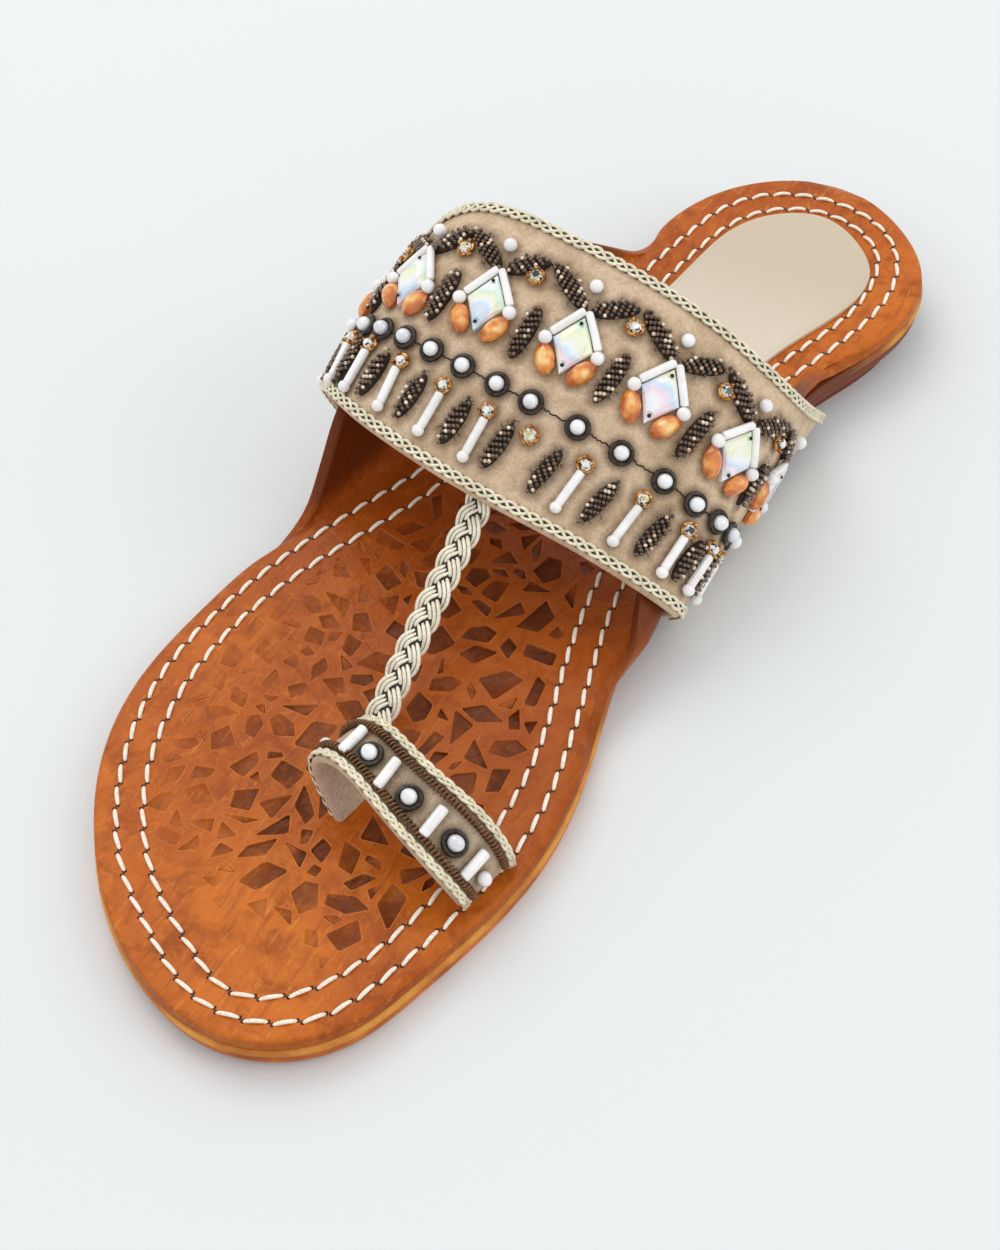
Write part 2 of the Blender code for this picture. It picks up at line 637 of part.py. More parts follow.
def add_beadwork(collection):
    for k in range(MOTIFS):
        girth = MOTIF_GIRTH + (k - 3) * MOTIF_PITCH
        add_bead(f"crystal_motif_{k + 1}", strap_spot, girth, MOTIF_SHARE, MOTIF_OUTLINE,
                 BEAD_HEIGHTS["motif"], "crystal", collection)
    leaf = leaf_outline(*MID_LEAF, LEAF_SLANT)
    for k in range(MOTIFS - 1):
        girth = MOTIF_GIRTH + (k - 2.5) * MOTIF_PITCH
        add_bead(f"mid_leaf_{k + 1}", strap_spot, girth, MID_LEAF_SHARE, leaf,
                 BEAD_HEIGHTS["leaf"], "bronze_bead", collection)
    add_ribbon("bead_zigzag", zigzag_rows(), BEAD_HEIGHTS["leaf"], "bronze_bead", collection)
    add_ribbon("pearl_chain", chain_rows(), BEAD_HEIGHTS["ball"], "white_bead", collection)
    for k, girth in enumerate(MATCHSTICK_GIRTHS):
        add_bead(f"matchstick_{k + 1:02d}", strap_spot, girth, MATCHSTICK_SHARE,
                 bar_outline(BAR_LENGTH, BAR_WIDTH), BEAD_HEIGHTS["bar"], "white_bead", collection)
    leaf = leaf_outline(*LOW_LEAF, LEAF_SLANT)
    for k, girth in enumerate(LOW_LEAF_GIRTHS):
        add_bead(f"low_leaf_{k + 1:02d}", strap_spot, girth, LOW_LEAF_SHARE, leaf,
                 BEAD_HEIGHTS["leaf"], "bronze_bead", collection)


def add_ring_beadwork(collection):
    for k, girth in enumerate(RING_BAR_GIRTHS):
        add_bead(f"ring_bar_{k + 1}", ring_spot, girth, RING_BEAD_SHARE,
                 bar_outline(RING_BAR_LENGTH, BAR_WIDTH), BEAD_HEIGHTS["bar"], "white_bead", collection)
    for k, girth in enumerate(RING_BALL_GIRTHS):
        add_bead(f"ring_ball_{k + 1}", ring_spot, girth, RING_BEAD_SHARE, round_outline(RING_BALL_SIZE),
                 BEAD_HEIGHTS["ball"], "white_bead", collection)


# ---------------------------------------------------------------- build

for old in list(bpy.data.objects):
    bpy.data.objects.remove(old, do_unlink=True)

PARTS = new_collection("kolhapuri_sandal")
CUTTERS = new_collection("cutters")

MIDSOLE_DROP = TOP_SOLE + GAP
OUTSOLE_DROP = MIDSOLE_DROP + MIDSOLE + GAP
LIFT_DROP = OUTSOLE_DROP + OUTSOLE + GAP
HEEL_SEAT = FOREFOOT_TOP + HEEL_RISE

add_top_sole(PARTS)
add_layer("midsole", MIDSOLE_INSET, MIDSOLE_DROP, MIDSOLE, "layer_leather", PARTS)
add_layer("outsole", OUTSOLE_INSET, OUTSOLE_DROP, OUTSOLE, "dark_leather", PARTS)
add_layer("heel_lift_upper", UPPER_LIFT_INSET, LIFT_DROP, UPPER_LIFT, "layer_leather", PARTS,
          start=HEEL_BREAST)
add_layer("heel_lift_lower", LOWER_LIFT_INSET, LIFT_DROP + UPPER_LIFT + GAP,
          HEEL_SEAT - LIFT_DROP - UPPER_LIFT - GAP, "dark_leather", PARTS, start=HEEL_BREAST)
add_heel_pad(PARTS)
add_vamp_strap(PARTS)
add_strap_trim("vamp_trim_front", True, PARTS)
add_strap_trim("vamp_trim_back", False, PARTS)
add_toe_ring(PARTS)
add_ring_trim("ring_trim_rear", True, PARTS)
add_ring_trim("ring_trim_front", False, PARTS)
add_braid(PARTS)
add_beadwork(PARTS)
add_ring_beadwork(PARTS)
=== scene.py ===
"""Looks of a woman's kolhapuri sandal for the right foot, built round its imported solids.

X runs across the foot, +X to its inner (medial) side, -Y to the toe, +Z up. Sizes are in millimetres
and become metres in add_piece. The tables that shape the solids are repeated here. A place on the
strap or the toe ring is (girth, share): girth runs from the medial hem to the lateral one, share from
the front edge to the back one, both from 0 to 1.
"""
import math
import random

import bmesh
import bpy
import numpy as np
from mathutils import Matrix, Vector, geometry, kdtree


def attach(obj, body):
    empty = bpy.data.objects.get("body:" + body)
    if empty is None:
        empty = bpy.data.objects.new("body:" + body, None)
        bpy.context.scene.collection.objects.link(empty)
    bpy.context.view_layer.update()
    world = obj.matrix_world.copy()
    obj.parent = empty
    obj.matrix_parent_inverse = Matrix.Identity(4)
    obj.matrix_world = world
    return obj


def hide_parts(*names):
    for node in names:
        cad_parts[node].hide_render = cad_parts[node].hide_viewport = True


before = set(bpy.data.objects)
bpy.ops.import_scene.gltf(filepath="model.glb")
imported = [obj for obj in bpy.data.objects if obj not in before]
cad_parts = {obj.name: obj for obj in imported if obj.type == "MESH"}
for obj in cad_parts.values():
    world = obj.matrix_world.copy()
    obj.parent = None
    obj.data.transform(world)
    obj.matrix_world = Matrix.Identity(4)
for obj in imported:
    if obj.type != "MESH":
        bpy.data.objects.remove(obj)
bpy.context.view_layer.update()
SCENE = bpy.context.scene
MM = 0.001
MIDDLE = np.array((0.8, 0.6, 0.0))      # middle of the footprint in the tables' own coordinates
GAP = 0.3

# ---------------------------------------------------------------- sizes, as in the solids

TOE_TIP = (7.8, -125.0)
HEEL_TIP = (19.3, 126.2)
SOLE_ROWS = (
    # y, lateral x, medial x
    (-121.0, -8.4, 20.6),
    (-113.0, -21.2, 28.6),
    (-100.0, -33.8, 33.8),
    (-85.0, -43.0, 38.2),
    (-65.0, -48.0, 41.5),
    (-45.0, -47.0, 39.8),
    (-25.0, -43.9, 35.2),
    (0.0, -37.4, 32.4),
    (25.0, -29.6, 35.0),
    (45.0, -24.0, 37.2),
    (60.0, -19.2, 39.2),
    (72.0, -15.7, 43.6),
    (88.0, -13.1, 49.2),
    (104.0, -9.8, 48.4),
    (117.0, -1.6, 39.4),
)
TOP_SOLE, MIDSOLE, OUTSOLE = 2.4, 2.2, 2.0
MIDSOLE_INSET, OUTSOLE_INSET = -0.5, 0.0
UPPER_LIFT_INSET, LOWER_LIFT_INSET = 3.2, 3.8
HEEL_RISE, RISE_START, RISE_END = 6.8, 0.0, 60.0
TOE_SPRING, SPRING_START = 2.0, -92.0
HEEL_BREAST, UPPER_LIFT = 62.0, 3.2
FOREFOOT_TOP = OUTSOLE + MIDSOLE + TOP_SOLE + 2 * GAP
MIDSOLE_DROP = TOP_SOLE + GAP
OUTSOLE_DROP = MIDSOLE_DROP + MIDSOLE + GAP
LIFT_DROP = OUTSOLE_DROP + OUTSOLE + GAP
LOWER_LIFT = FOREFOOT_TOP + HEEL_RISE - LIFT_DROP - UPPER_LIFT - GAP

WING_ROWS = (
    # y, lateral height, medial height above the top sole's underside
    (-36.0, 0.0, 0.0),
    (-26.0, 0.0, 3.6),
    (-18.0, 0.6, 7.4),
    (-10.0, 7.8, 12.0),
    (-3.0, 16.5, 16.0),
    (4.0, 23.0, 18.5),
    (20.0, 24.0, 19.0),
    (36.0, 23.0, 17.0),
    (50.0, 22.0, 10.0),
    (62.0, 19.5, 4.0),
    (72.0, 11.8, 0.0),
    (80.0, 6.2, 0.0),
    (87.0, 0.0, 0.0),
)
WING_FILLET, WING_BAND, WING_POINTS, WING_CLEARANCE = 5.0, 8.0, 22, 0.6
NORMAL_PASSES = 20          # smoothing of the sheet's normals where a wing runs out into the rim

FORM_GIRTH = (0.0, 0.13, 0.27, 0.50, 0.66, 0.80, 1.0)
FORM_ROWS = (
    # y, then (x, z) at the medial hem, side and shoulder, the crown, the lateral shoulder, side and hem
    (-38, (42.6, 3.5), (42.8, 15), (24, 20), (-6, 24), (-31, 24), (-48, 16), (-49.4, 3.5)),
    (-13, (38.4, 3.5), (40.8, 14), (24, 25.5), (-6, 34.5), (-31, 34), (-43, 25), (-43.8, 3.5)),
    (2, (36.8, 3.5), (41.2, 18), (27, 32.5), (-5, 43), (-30, 41), (-43.2, 30), (-39.6, 3.5)),
    (19, (38.6, 3.5), (42.8, 23), (30.2, 41), (-4.5, 52.5), (-29, 49.5), (-42.8, 35), (-34.8, 3.5)),
    (36, (40.4, 4.5), (43.6, 27), (30, 47), (-6, 59.7), (-27, 56.8), (-39.2, 40), (-29.8, 4.5)),
    (62, (43.2, 7.4), (43.8, 32), (29, 55), (-5, 70), (-21, 64), (-32, 42), (-22, 7.4)),
)
STRAP_FRONT = (-2.8, -9.0, -12.4, -13.5, -8.1, 0.5, 9.8)
STRAP_BACK = (62.0, 44.0, 36.9, 36.2, 37.5, 39.4, 59.0)
STRAP_WALL = 2.6

RING_ROWS = (
    # rear (x, y, z), front (x, y, z)
    ((38.0, -69.2, 5.3), (33.8, -82.0, 5.3)),
    ((37.6, -69.8, 12.4), (34.4, -84.0, 11.4)),
    ((31.0, -69.5, 21.2), (28.4, -84.0, 18.8)),
    ((20.0, -67.3, 25.0), (18.2, -80.6, 22.2)),
    ((6.0, -62.3, 23.0), (3.4, -74.8, 23.4)),
    ((1.6, -62.8, 14.8), (-1.4, -74.4, 16.8)),
    ((7.0, -64.4, 5.3), (4.6, -76.8, 5.3)),
)
RING_GIRTH = (0.0, 0.13, 0.30, 0.48, 0.72, 0.87, 1.0)
RING_WALL = 1.8

BRAID_PATH = ((0.2, -8.5, 31.4), (0.2, -14.6, 28.0), (0.4, -30.0, 21.4), (1.0, -48.0, 14.0),
              (1.8, -61.8, 9.0))
BRAID_WIDTH = 5.4

BEAD_LIFT = 0.35
MOTIFS, MOTIF_GIRTH, MOTIF_PITCH, MOTIF_SHARE = 8, 0.43, 0.1225, 0.604
ZIGZAG_VALLEY, ZIGZAG_PEAK = 0.739, 0.859
MID_LEAF_SHARE, LOW_LEAF_SHARE, LEAF_SLANT = 0.574, 0.19, 8.0
MID_LEAF, LOW_LEAF = (12.6, 4.2), (11.2, 4.0)
CHAIN_SHARE = 0.37
CHAIN_GIRTHS = (0.06, 0.105, 0.15, 0.197, 0.247, 0.31, 0.375, 0.445, 0.495, 0.545, 0.592, 0.637, 0.68,
                0.722, 0.765, 0.81, 0.855, 0.90, 0.943)
MATCHSTICK_GIRTHS = (0.08, 0.13, 0.185, 0.255, 0.34, 0.49, 0.556, 0.624, 0.69, 0.745, 0.80, 0.857, 0.912)
LOW_LEAF_GIRTHS = (0.105, 0.1575, 0.22, 0.2975, 0.3825, 0.4575, 0.523, 0.59, 0.657, 0.7175)
EXTRA_LOW_LEAVES = (0.7725, 0.8285, 0.8845)               # the solids leave these out
MATCHSTICK_SHARE = 0.19
RING_BEAD_SHARE = 0.44
RING_BAR_GIRTHS = (0.192, 0.357, 0.54, 0.69)
RING_BALL_GIRTHS = (0.275, 0.45, 0.617)
PAD_WALL, PAD_FRONT, PAD_MARGIN, PAD_SHIFT = 1.0, 44.0, 12.6, 1.0

# ---------------------------------------------------------------- sizes of the looks

OUTER_STITCHES = (
    # y, lateral x, medial x
    (-113.0, -12.1, 24.2),
    (-103.0, -25.5, 29.0),
    (-83.0, -39.0, 34.7),
    (-63.0, -44.3, 37.6),
    (-43.0, -43.3, 35.2),
    (-23.0, -38.5, 30.4),
    (-3.0, -31.0, 26.4),
    (17.0, -23.0, 26.2),
    (42.0, -16.6, 29.3),
    (67.0, -10.4, 36.5),
    (87.0, -7.2, 42.7),
    (97.0, -5.0, 43.5),
    (107.0, -2.0, 41.2),
    (116.0, 5.4, 34.0),
)
OUTER_TIPS = ((7.0, -121.0), (19.6, 120.3))
INNER_STITCHES = (
    (-113.0, -2.5, 16.0),
    (-103.0, -18.2, 23.2),
    (-83.0, -33.4, 29.0),
    (-63.0, -38.7, 31.6),
    (-43.0, -38.0, 29.8),
    (-23.0, -32.4, 24.8),
    (-3.0, -24.0, 21.2),
    (17.0, -17.7, 20.6),
    (42.0, -11.6, 25.4),
    (67.0, -5.4, 31.6),
    (87.0, -1.8, 38.3),
    (97.0, 0.2, 38.9),
    (107.0, 4.4, 36.4),
)
INNER_TIPS = ((7.0, -116.5), (19.4, 115.6))
STITCH_PITCH, STITCH_LENGTH, STITCH_RADIUS = 5.1, 4.4, 0.44
STITCH_SLANT, STITCH_SINK, STITCH_RISE = 0.3, 0.25, 0.62    # aside, and its ends' and middle's height
HOLE_LENGTH, HOLE_WIDTH, HOLE_DEPTH = 0.4, 0.5, 0.3         # half along the row, half across it

CHIP_FRONT, CHIP_BACK = -108.0, 62.0                        # y where the middles of chips may lie
CHIP_LIMIT = 64.0                                           # y that no corner of a chip goes past
CHIP_TRIES, LARGE_CHIP_TRIES = 26000, 12000
LARGE_CHIP, SMALL_CHIP = (6.8, 10.4), (4.0, 6.8)
CHIP_GAP, CHIP_MARGIN = 0.8, 1.6
CHIP_REACH = 13.0                                           # chips with middles further apart can't meet
CHIP_DEPTH, CHIP_LIP = 0.55, 0.14
CHIP_EDGES = (0.36, 0.1, -0.14)                             # foot of the lip, its top and the sunk floor
SHEET_STEP, SHEET_ROWS = 1.9, 151                           # plain points between the chips
RIM_LOOPS = ((0.35, -0.12), (0.95, 0.0))                    # way in from the rim and height
RIM_DROP, RIM_SHADE = 0.45, 0.28                            # the sheet's very edge

VAMP_TRIM, RING_TRIM = (0.0, 1.55, 2.5), (0.015, 1.1, 1.9)  # girth left at each end, way in, width
TRIM_PERIOD, TRIM_CORD = 7.4, 0.38
BRAID_PERIOD, BRAID_YARNS = 14.0, ((-0.86, 0.4), (0.0, 0.4), (0.86, 0.4))  # (way across, radius)
BULLION_INSET, BULLION_COIL, BULLION_WIRE, BULLION_PITCH = 3.0, 0.58, 0.27, 0.85

PEARL_RADIUS, RHINESTONE_RADIUS = 1.38, 1.72
SEED_PITCH, SEED_ROW, SEED_RADIUS = 0.66, 1.32, 0.46
SEED_SLANTS = (-34.0, 30.0)
ZIGZAG_LEAF = (13.0, 4.3)                                   # longest length, and width
LONE_STONE = (0.425, 0.27)                                  # girth and share, among the matchsticks
LOOSE_STONE_GIRTHS = (0.859, 0.736, 0.615, 0.505, 0.37, 0.24, 0.125)
LOOSE_STONE_SHARE, LOOSE_PEARL_SHARE = 0.774, 0.839
RING_PEARL_GIRTHS = (0.13, 0.845)

RHOMBUS = ((0.0, 6.2), (-2.2, 3.2), (-4.2, 0.2), (-2.1, -2.9), (0.0, -6.0), (2.1, -2.9), (4.2, 0.2),
           (2.2, 3.2))
STONE_LEVELS = ((1.0, -0.2), (1.0, 0.8), (0.86, 1.45), (0.58, 1.9))        # (scale, height) up a stone
DROP_SIZE, DROP_TURN, DROP_PLACE = (6.7, 4.1), 31.0, (3.9, -4.3)
DROP_LEVELS = ((0.9, -0.2), (1.0, 0.7), (0.82, 1.6), (0.48, 2.2))
RHINESTONE_LEVELS = ((1.0, 0.1), (1.0, 0.9), (0.78, 1.45), (0.5, 1.75))
PAD_LEVELS = ((1.0, -0.3), (1.0, 0.05), (0.75, 0.6), (0.4, 0.9))

# the photo's view, in metres and unit vectors
CAMERA_PLACE = (0.15007, -0.25294, 0.33136)
CAMERA_RIGHT, CAMERA_UP = Vector((0.9099, 0.4122, 0.0461)), Vector((-0.3438, 0.6874, 0.6398))
CAMERA_AHEAD = Vector((-0.2320, 0.5980, -0.7672))
CAMERA_ASIDE, CAMERA_LENS, CAMERA_SHIFT = math.radians(5.3), 76.4, -0.05


# ---------------------------------------------------------------- curves and grids

def spline(knots, values, at):
    """Natural cubic spline through values (one row a knot), read at the places in at."""
    knots, values = np.asarray(knots, float), np.asarray(values, float)
    shape = values.shape[1:]
    values = values.reshape(len(knots), -1)
    gaps = np.diff(knots)
    slopes = np.diff(values, axis=0) / gaps[:, None]
    matrix = np.eye(len(knots))
    right = np.zeros_like(values)
    for i in range(1, len(knots) - 1):
        matrix[i, i - 1:i + 2] = gaps[i - 1], 2 * (gaps[i - 1] + gaps[i]), gaps[i]
        right[i] = 6 * (slopes[i] - slopes[i - 1])
    bends = np.linalg.solve(matrix, right)
    at = np.atleast_1d(np.asarray(at, float))
    k = np.clip(np.searchsorted(knots, at) - 1, 0, len(knots) - 2)
    a, b, h = (at - knots[k])[:, None], (knots[k + 1] - at)[:, None], gaps[k][:, None]
    low, high = bends[k], bends[k + 1]
    curve = (low * b ** 3 + high * a ** 3) / (6 * h) \
        + (values[k] / h - low * h / 6) * b + (values[k + 1] / h - high * h / 6) * a
    return curve.reshape((len(at),) + shape)


def ramp(value):
    """Smooth step from 0 to 1."""
    t = np.clip(value, 0.0, 1.0)
    return t * t * (3.0 - 2.0 * t)


def run_of(points):
    """Distance from the first point along a polyline."""
    return np.concatenate([[0.0], np.cumsum(np.linalg.norm(np.diff(points, axis=0), axis=1))])


def resample(points, count):
    """The same polyline with count points evenly spaced along it."""
    points = np.asarray(points, float)
    run = run_of(points)
    at = np.linspace(0.0, run[-1], count)
    return np.stack([np.interp(at, run, points[:, k]) for k in range(points.shape[1])], axis=1)


def unit(vectors):
    return vectors / np.linalg.norm(vectors, axis=-1, keepdims=True)


def closed_curve(corners, count):
    """Smooth closed curve through corners, with count points."""
    corners = np.asarray(corners, float)
    around = np.concatenate([corners[-3:], corners, corners[:4]])
    run = run_of(around)
    return spline(run, around, np.linspace(run[3], run[3 + len(corners)], count, endpoint=False))


def rows_to_ring(rows, tips, count):
    """Closed curve from rows of (y, lateral x, medial x) and the points at toe and heel."""
    lateral = [(row[1], row[0]) for row in rows]
    medial = [(row[2], row[0]) for row in reversed(rows)]
    return closed_curve([tips[0]] + lateral + [tips[1]] + medial, count)


def sole_outline(inset=0.0, count=360):
    ring = rows_to_ring(SOLE_ROWS, (TOE_TIP, HEEL_TIP), count)
    tangent = unit(np.roll(ring, -1, axis=0) - np.roll(ring, 1, axis=0))
    return ring + np.stack([tangent[:, 1], -tangent[:, 0]], axis=1) * inset


OUTLINE = sole_outline()


def span(outline, y):
    """Lateral and medial x where a closed outline crosses the station y."""
    ahead = np.roll(outline, -1, axis=0)
    crossing = (outline[:, 1] - y) * (ahead[:, 1] - y) <= 0.0
    crossing &= outline[:, 1] != ahead[:, 1]
    a, b = outline[crossing], ahead[crossing]
    x = a[:, 0] + (b[:, 0] - a[:, 0]) * (y - a[:, 1]) / (b[:, 1] - a[:, 1])
    return x.min(), x.max()


def seat_height(y):
    """Height of the top sole's upper face along the foot."""
    rise = HEEL_RISE * ramp((y - RISE_START) / (RISE_END - RISE_START))
    spring = TOE_SPRING * np.clip((SPRING_START - y) / (SPRING_START - TOE_TIP[1]), 0.0, None) ** 2
    return FOREFOOT_TOP + rise + spring


# ---------------------------------------------------------------- pieces

def add_piece(name, vertices, faces, materials, replaces=(), marks=None, kinds=None, sharp=None):
    """A mesh object from millimetre points that rides on the part and stands for some CAD nodes.

    marks are colours a vertex, kinds are material indices a face, sharp is an angle in degrees.
    """
    mesh = bpy.data.meshes.new(name)
    mesh.from_pydata(((np.asarray(vertices, float) - MIDDLE) * MM).tolist(), [], faces)
    for paint in materials:
        mesh.materials.append(paint)
    if kinds is not None:
        mesh.polygons.foreach_set("material_index", np.asarray(kinds, np.int32))
    if marks is not None:
        layer = mesh.color_attributes.new("marks", "FLOAT_COLOR", "POINT")
        layer.data.foreach_set("color", np.asarray(marks, np.float32).ravel())
    mesh.validate()
    mesh.shade_smooth()
    if sharp is not None:
        mesh.set_sharp_from_angle(angle=math.radians(sharp))
    piece = bpy.data.objects.new(name, mesh)
    SCENE.collection.objects.link(piece)
    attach(piece, "root")
    if replaces:
        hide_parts(*replaces)
    return piece


class Heap:
    """Many small closed shapes that become one mesh."""

    def __init__(self):
        self.vertices, self.faces, self.kinds, self.marks, self.count = [], [], [], [], 0

    def add(self, shape, kind=0, mark=None):
        """kind is a material index, or one for each face; mark is a value for each vertex."""
        vertices, faces = shape
        self.vertices.append(np.asarray(vertices, float))
        self.faces.extend([tuple(i + self.count for i in face) for face in faces])
        self.kinds.extend(kind if isinstance(kind, list) else [kind] * len(faces))
        self.marks.append(np.zeros(len(vertices)) if mark is None else mark)
        self.count += len(vertices)

    def finish(self, name, slot, materials, replaces=(), sharp=None):
        red = np.concatenate(self.marks)
        marks = None if not red.any() else np.stack([red, red * 0, red * 0, red * 0 + 1], axis=1)
        return add_piece(name, np.concatenate(self.vertices), self.faces, materials, replaces,
                         marks=marks, kinds=self.kinds, sharp=sharp)


def loft(rings, closed=False):
    """Shape through rings of points: rings is (count, sides, 3); its ends are capped unless closed."""
    rings = np.asarray(rings, float)
    count, sides = rings.shape[:2]
    faces = []
    for k in range(count if closed else count - 1):
        for j in range(sides):
            a, b = k * sides + j, k * sides + (j + 1) % sides
            c, d = (a + sides) % (count * sides), (b + sides) % (count * sides)
            faces.append((a, b, d, c))
    if not closed:
        faces.append(tuple(range(sides))[::-1])
        faces.append(tuple(range((count - 1) * sides, count * sides)))
    return rings.reshape(-1, 3), faces


def tube(path, up, radius, sides=6, squash=1.0, closed=False):
    """Tube along a path: up gives the way that squash thins it, radius may vary along it."""
    path = np.asarray(path, float)
    if closed:
        ahead = unit(np.roll(path, -1, axis=0) - np.roll(path, 1, axis=0))
    else:
        ahead = unit(np.gradient(path, axis=0))
    up = np.broadcast_to(np.asarray(up, float), path.shape)
    side = unit(np.cross(ahead, up))
    rise = np.cross(side, ahead)
    radius = np.broadcast_to(np.asarray(radius, float), (len(path),))[:, None, None]
    turns = np.arange(sides) * 2 * math.pi / sides
    across, over = np.cos(turns)[None, :, None], squash * np.sin(turns)[None, :, None]
    ring = across * side[:, None] + over * rise[:, None]
    return loft(path[:, None] + ring * radius, closed)


def grid_faces(rows, columns, offset=0, flip=False):
    faces = []
    for i in range(rows - 1):
        for j in range(columns - 1):
            a, b = offset + i * columns + j, offset + (i + 1) * columns + j
            faces.append((a, a + 1, b + 1, b) if flip else (a, b, b + 1, a + 1))
    return faces


def shell(outer, inner):
    """Closed wall between two grids of points with the same shape."""
    rows, columns = outer.shape[:2]
    offset = rows * columns
    faces = grid_faces(rows, columns) + grid_faces(rows, columns, offset, True)
    index = np.arange(offset).reshape(rows, columns)
    rim = [int(i) for i in (*index[0], *index[1:, -1], *index[-1, -2::-1], *index[-2:0:-1, 0])]
    for here, there in zip(rim, rim[1:] + rim[:1]):
        faces.append((here, there, offset + there, offset + here))
    return np.concatenate([outer.reshape(-1, 3), inner.reshape(-1, 3)]), faces


# ---------------------------------------------------------------- materials

class Paint:
    """A material in the making: a Principled shader and short ways to add nodes to it."""

    def __init__(self, name, **sockets):
        self.material = bpy.data.materials.new(name)
        self.material.use_nodes = True
        self.tree = self.material.node_tree
        self.shader = self.tree.nodes["Principled BSDF"]
        for socket, value in sockets.items():
            self.shader.inputs[socket.replace("_", " ")].default_value = value
        self.place = self.add("ShaderNodeTexCoord").outputs["Object"]

    def add(self, kind, inputs=None, **settings):
        made = self.tree.nodes.new(kind)
        for key, value in settings.items():
            setattr(made, key, value)
        for key, value in (inputs or {}).items():
            self.set(made.inputs[key], value)
        return made

    def set(self, socket, value):
        if isinstance(value, bpy.types.NodeSocket):
            self.tree.links.new(value, socket)
        elif isinstance(value, tuple) and len(value) == 3 and socket.type == "RGBA":
            socket.default_value = (*value, 1.0)
        else:
            socket.default_value = value

    def stretched(self, scale, turn=0.0):
        return self.add("ShaderNodeMapping", {"Vector": self.place, "Scale": scale,
                                              "Rotation": (0.0, 0.0, turn)}).outputs[0]

    def noise(self, size, detail=3.0, roughness=0.55, distortion=0.0, vector=None):
        """Noise with features of about size millimetres."""
        made = self.add("ShaderNodeTexNoise", {
            "Vector": vector or self.place, "Scale": 1.0 / (size * MM), "Detail": detail,
            "Roughness": roughness, "Distortion": distortion})
        return made.outputs["Fac"]

    def axes(self):
        """x, y and z of the place, in metres."""
        return self.add("ShaderNodeSeparateXYZ", {"Vector": self.place}).outputs

    def math(self, operation, a, b, clamp=False):
        made = self.add("ShaderNodeMath", operation=operation, use_clamp=clamp)
        self.set(made.inputs[0], a)
        self.set(made.inputs[1], b)
        return made.outputs[0]

    def between(self, value, low, high, to_low=0.0, to_high=1.0):
        """Value carried from low..high to to_low..to_high, smoothly and clamped."""
        return self.add("ShaderNodeMapRange", {
            "Value": value, "From Min": low, "From Max": high, "To Min": to_low, "To Max": to_high},
            interpolation_type="SMOOTHSTEP").outputs[0]

    def mix(self, factor, a, b):
        made = self.add("ShaderNodeMix", data_type="RGBA", blend_type="MIX")
        self.set(made.inputs["Factor"], factor)
        self.set(made.inputs[6], a)
        self.set(made.inputs[7], b)
        return made.outputs[2]

    def over(self, colour, value, low, high, most, tone):
        """Colour with a display tone laid over it as value goes from low to high, up to most of it."""
        return self.mix(self.between(value, low, high, 0.0, most), colour, srgb(*tone))

    def mark(self, channel):
        """One channel (0 to 2) of the colours a vertex carries."""
        if not hasattr(self, "marks"):
            layer = self.add("ShaderNodeVertexColor", layer_name="marks")
            self.marks = self.add("ShaderNodeSeparateColor", {"Color": layer.outputs["Color"]}).outputs
        return self.marks[channel]

    def bump(self, height, depth, below=None):
        """Relief of depth millimetres."""
        made = self.add("ShaderNodeBump", {"Height": height, "Distance": depth * MM, "Strength": 1.0})
        if below is not None:
            self.set(made.inputs["Normal"], below)
        return made.outputs[0]

    def finish(self, colour=None, roughness=None, normal=None):
        for socket, value in (("Base Color", colour), ("Roughness", roughness), ("Normal", normal)):
            if value is not None:
                self.set(self.shader.inputs[socket], value)
        return self.material


def srgb(red, green, blue):
    """Linear colour from 0 to 255 display values."""
    return tuple(c / 12.92 if c <= 0.04045 else ((c + 0.055) / 1.055) ** 2.4
                 for c in (red / 255, green / 255, blue / 255))


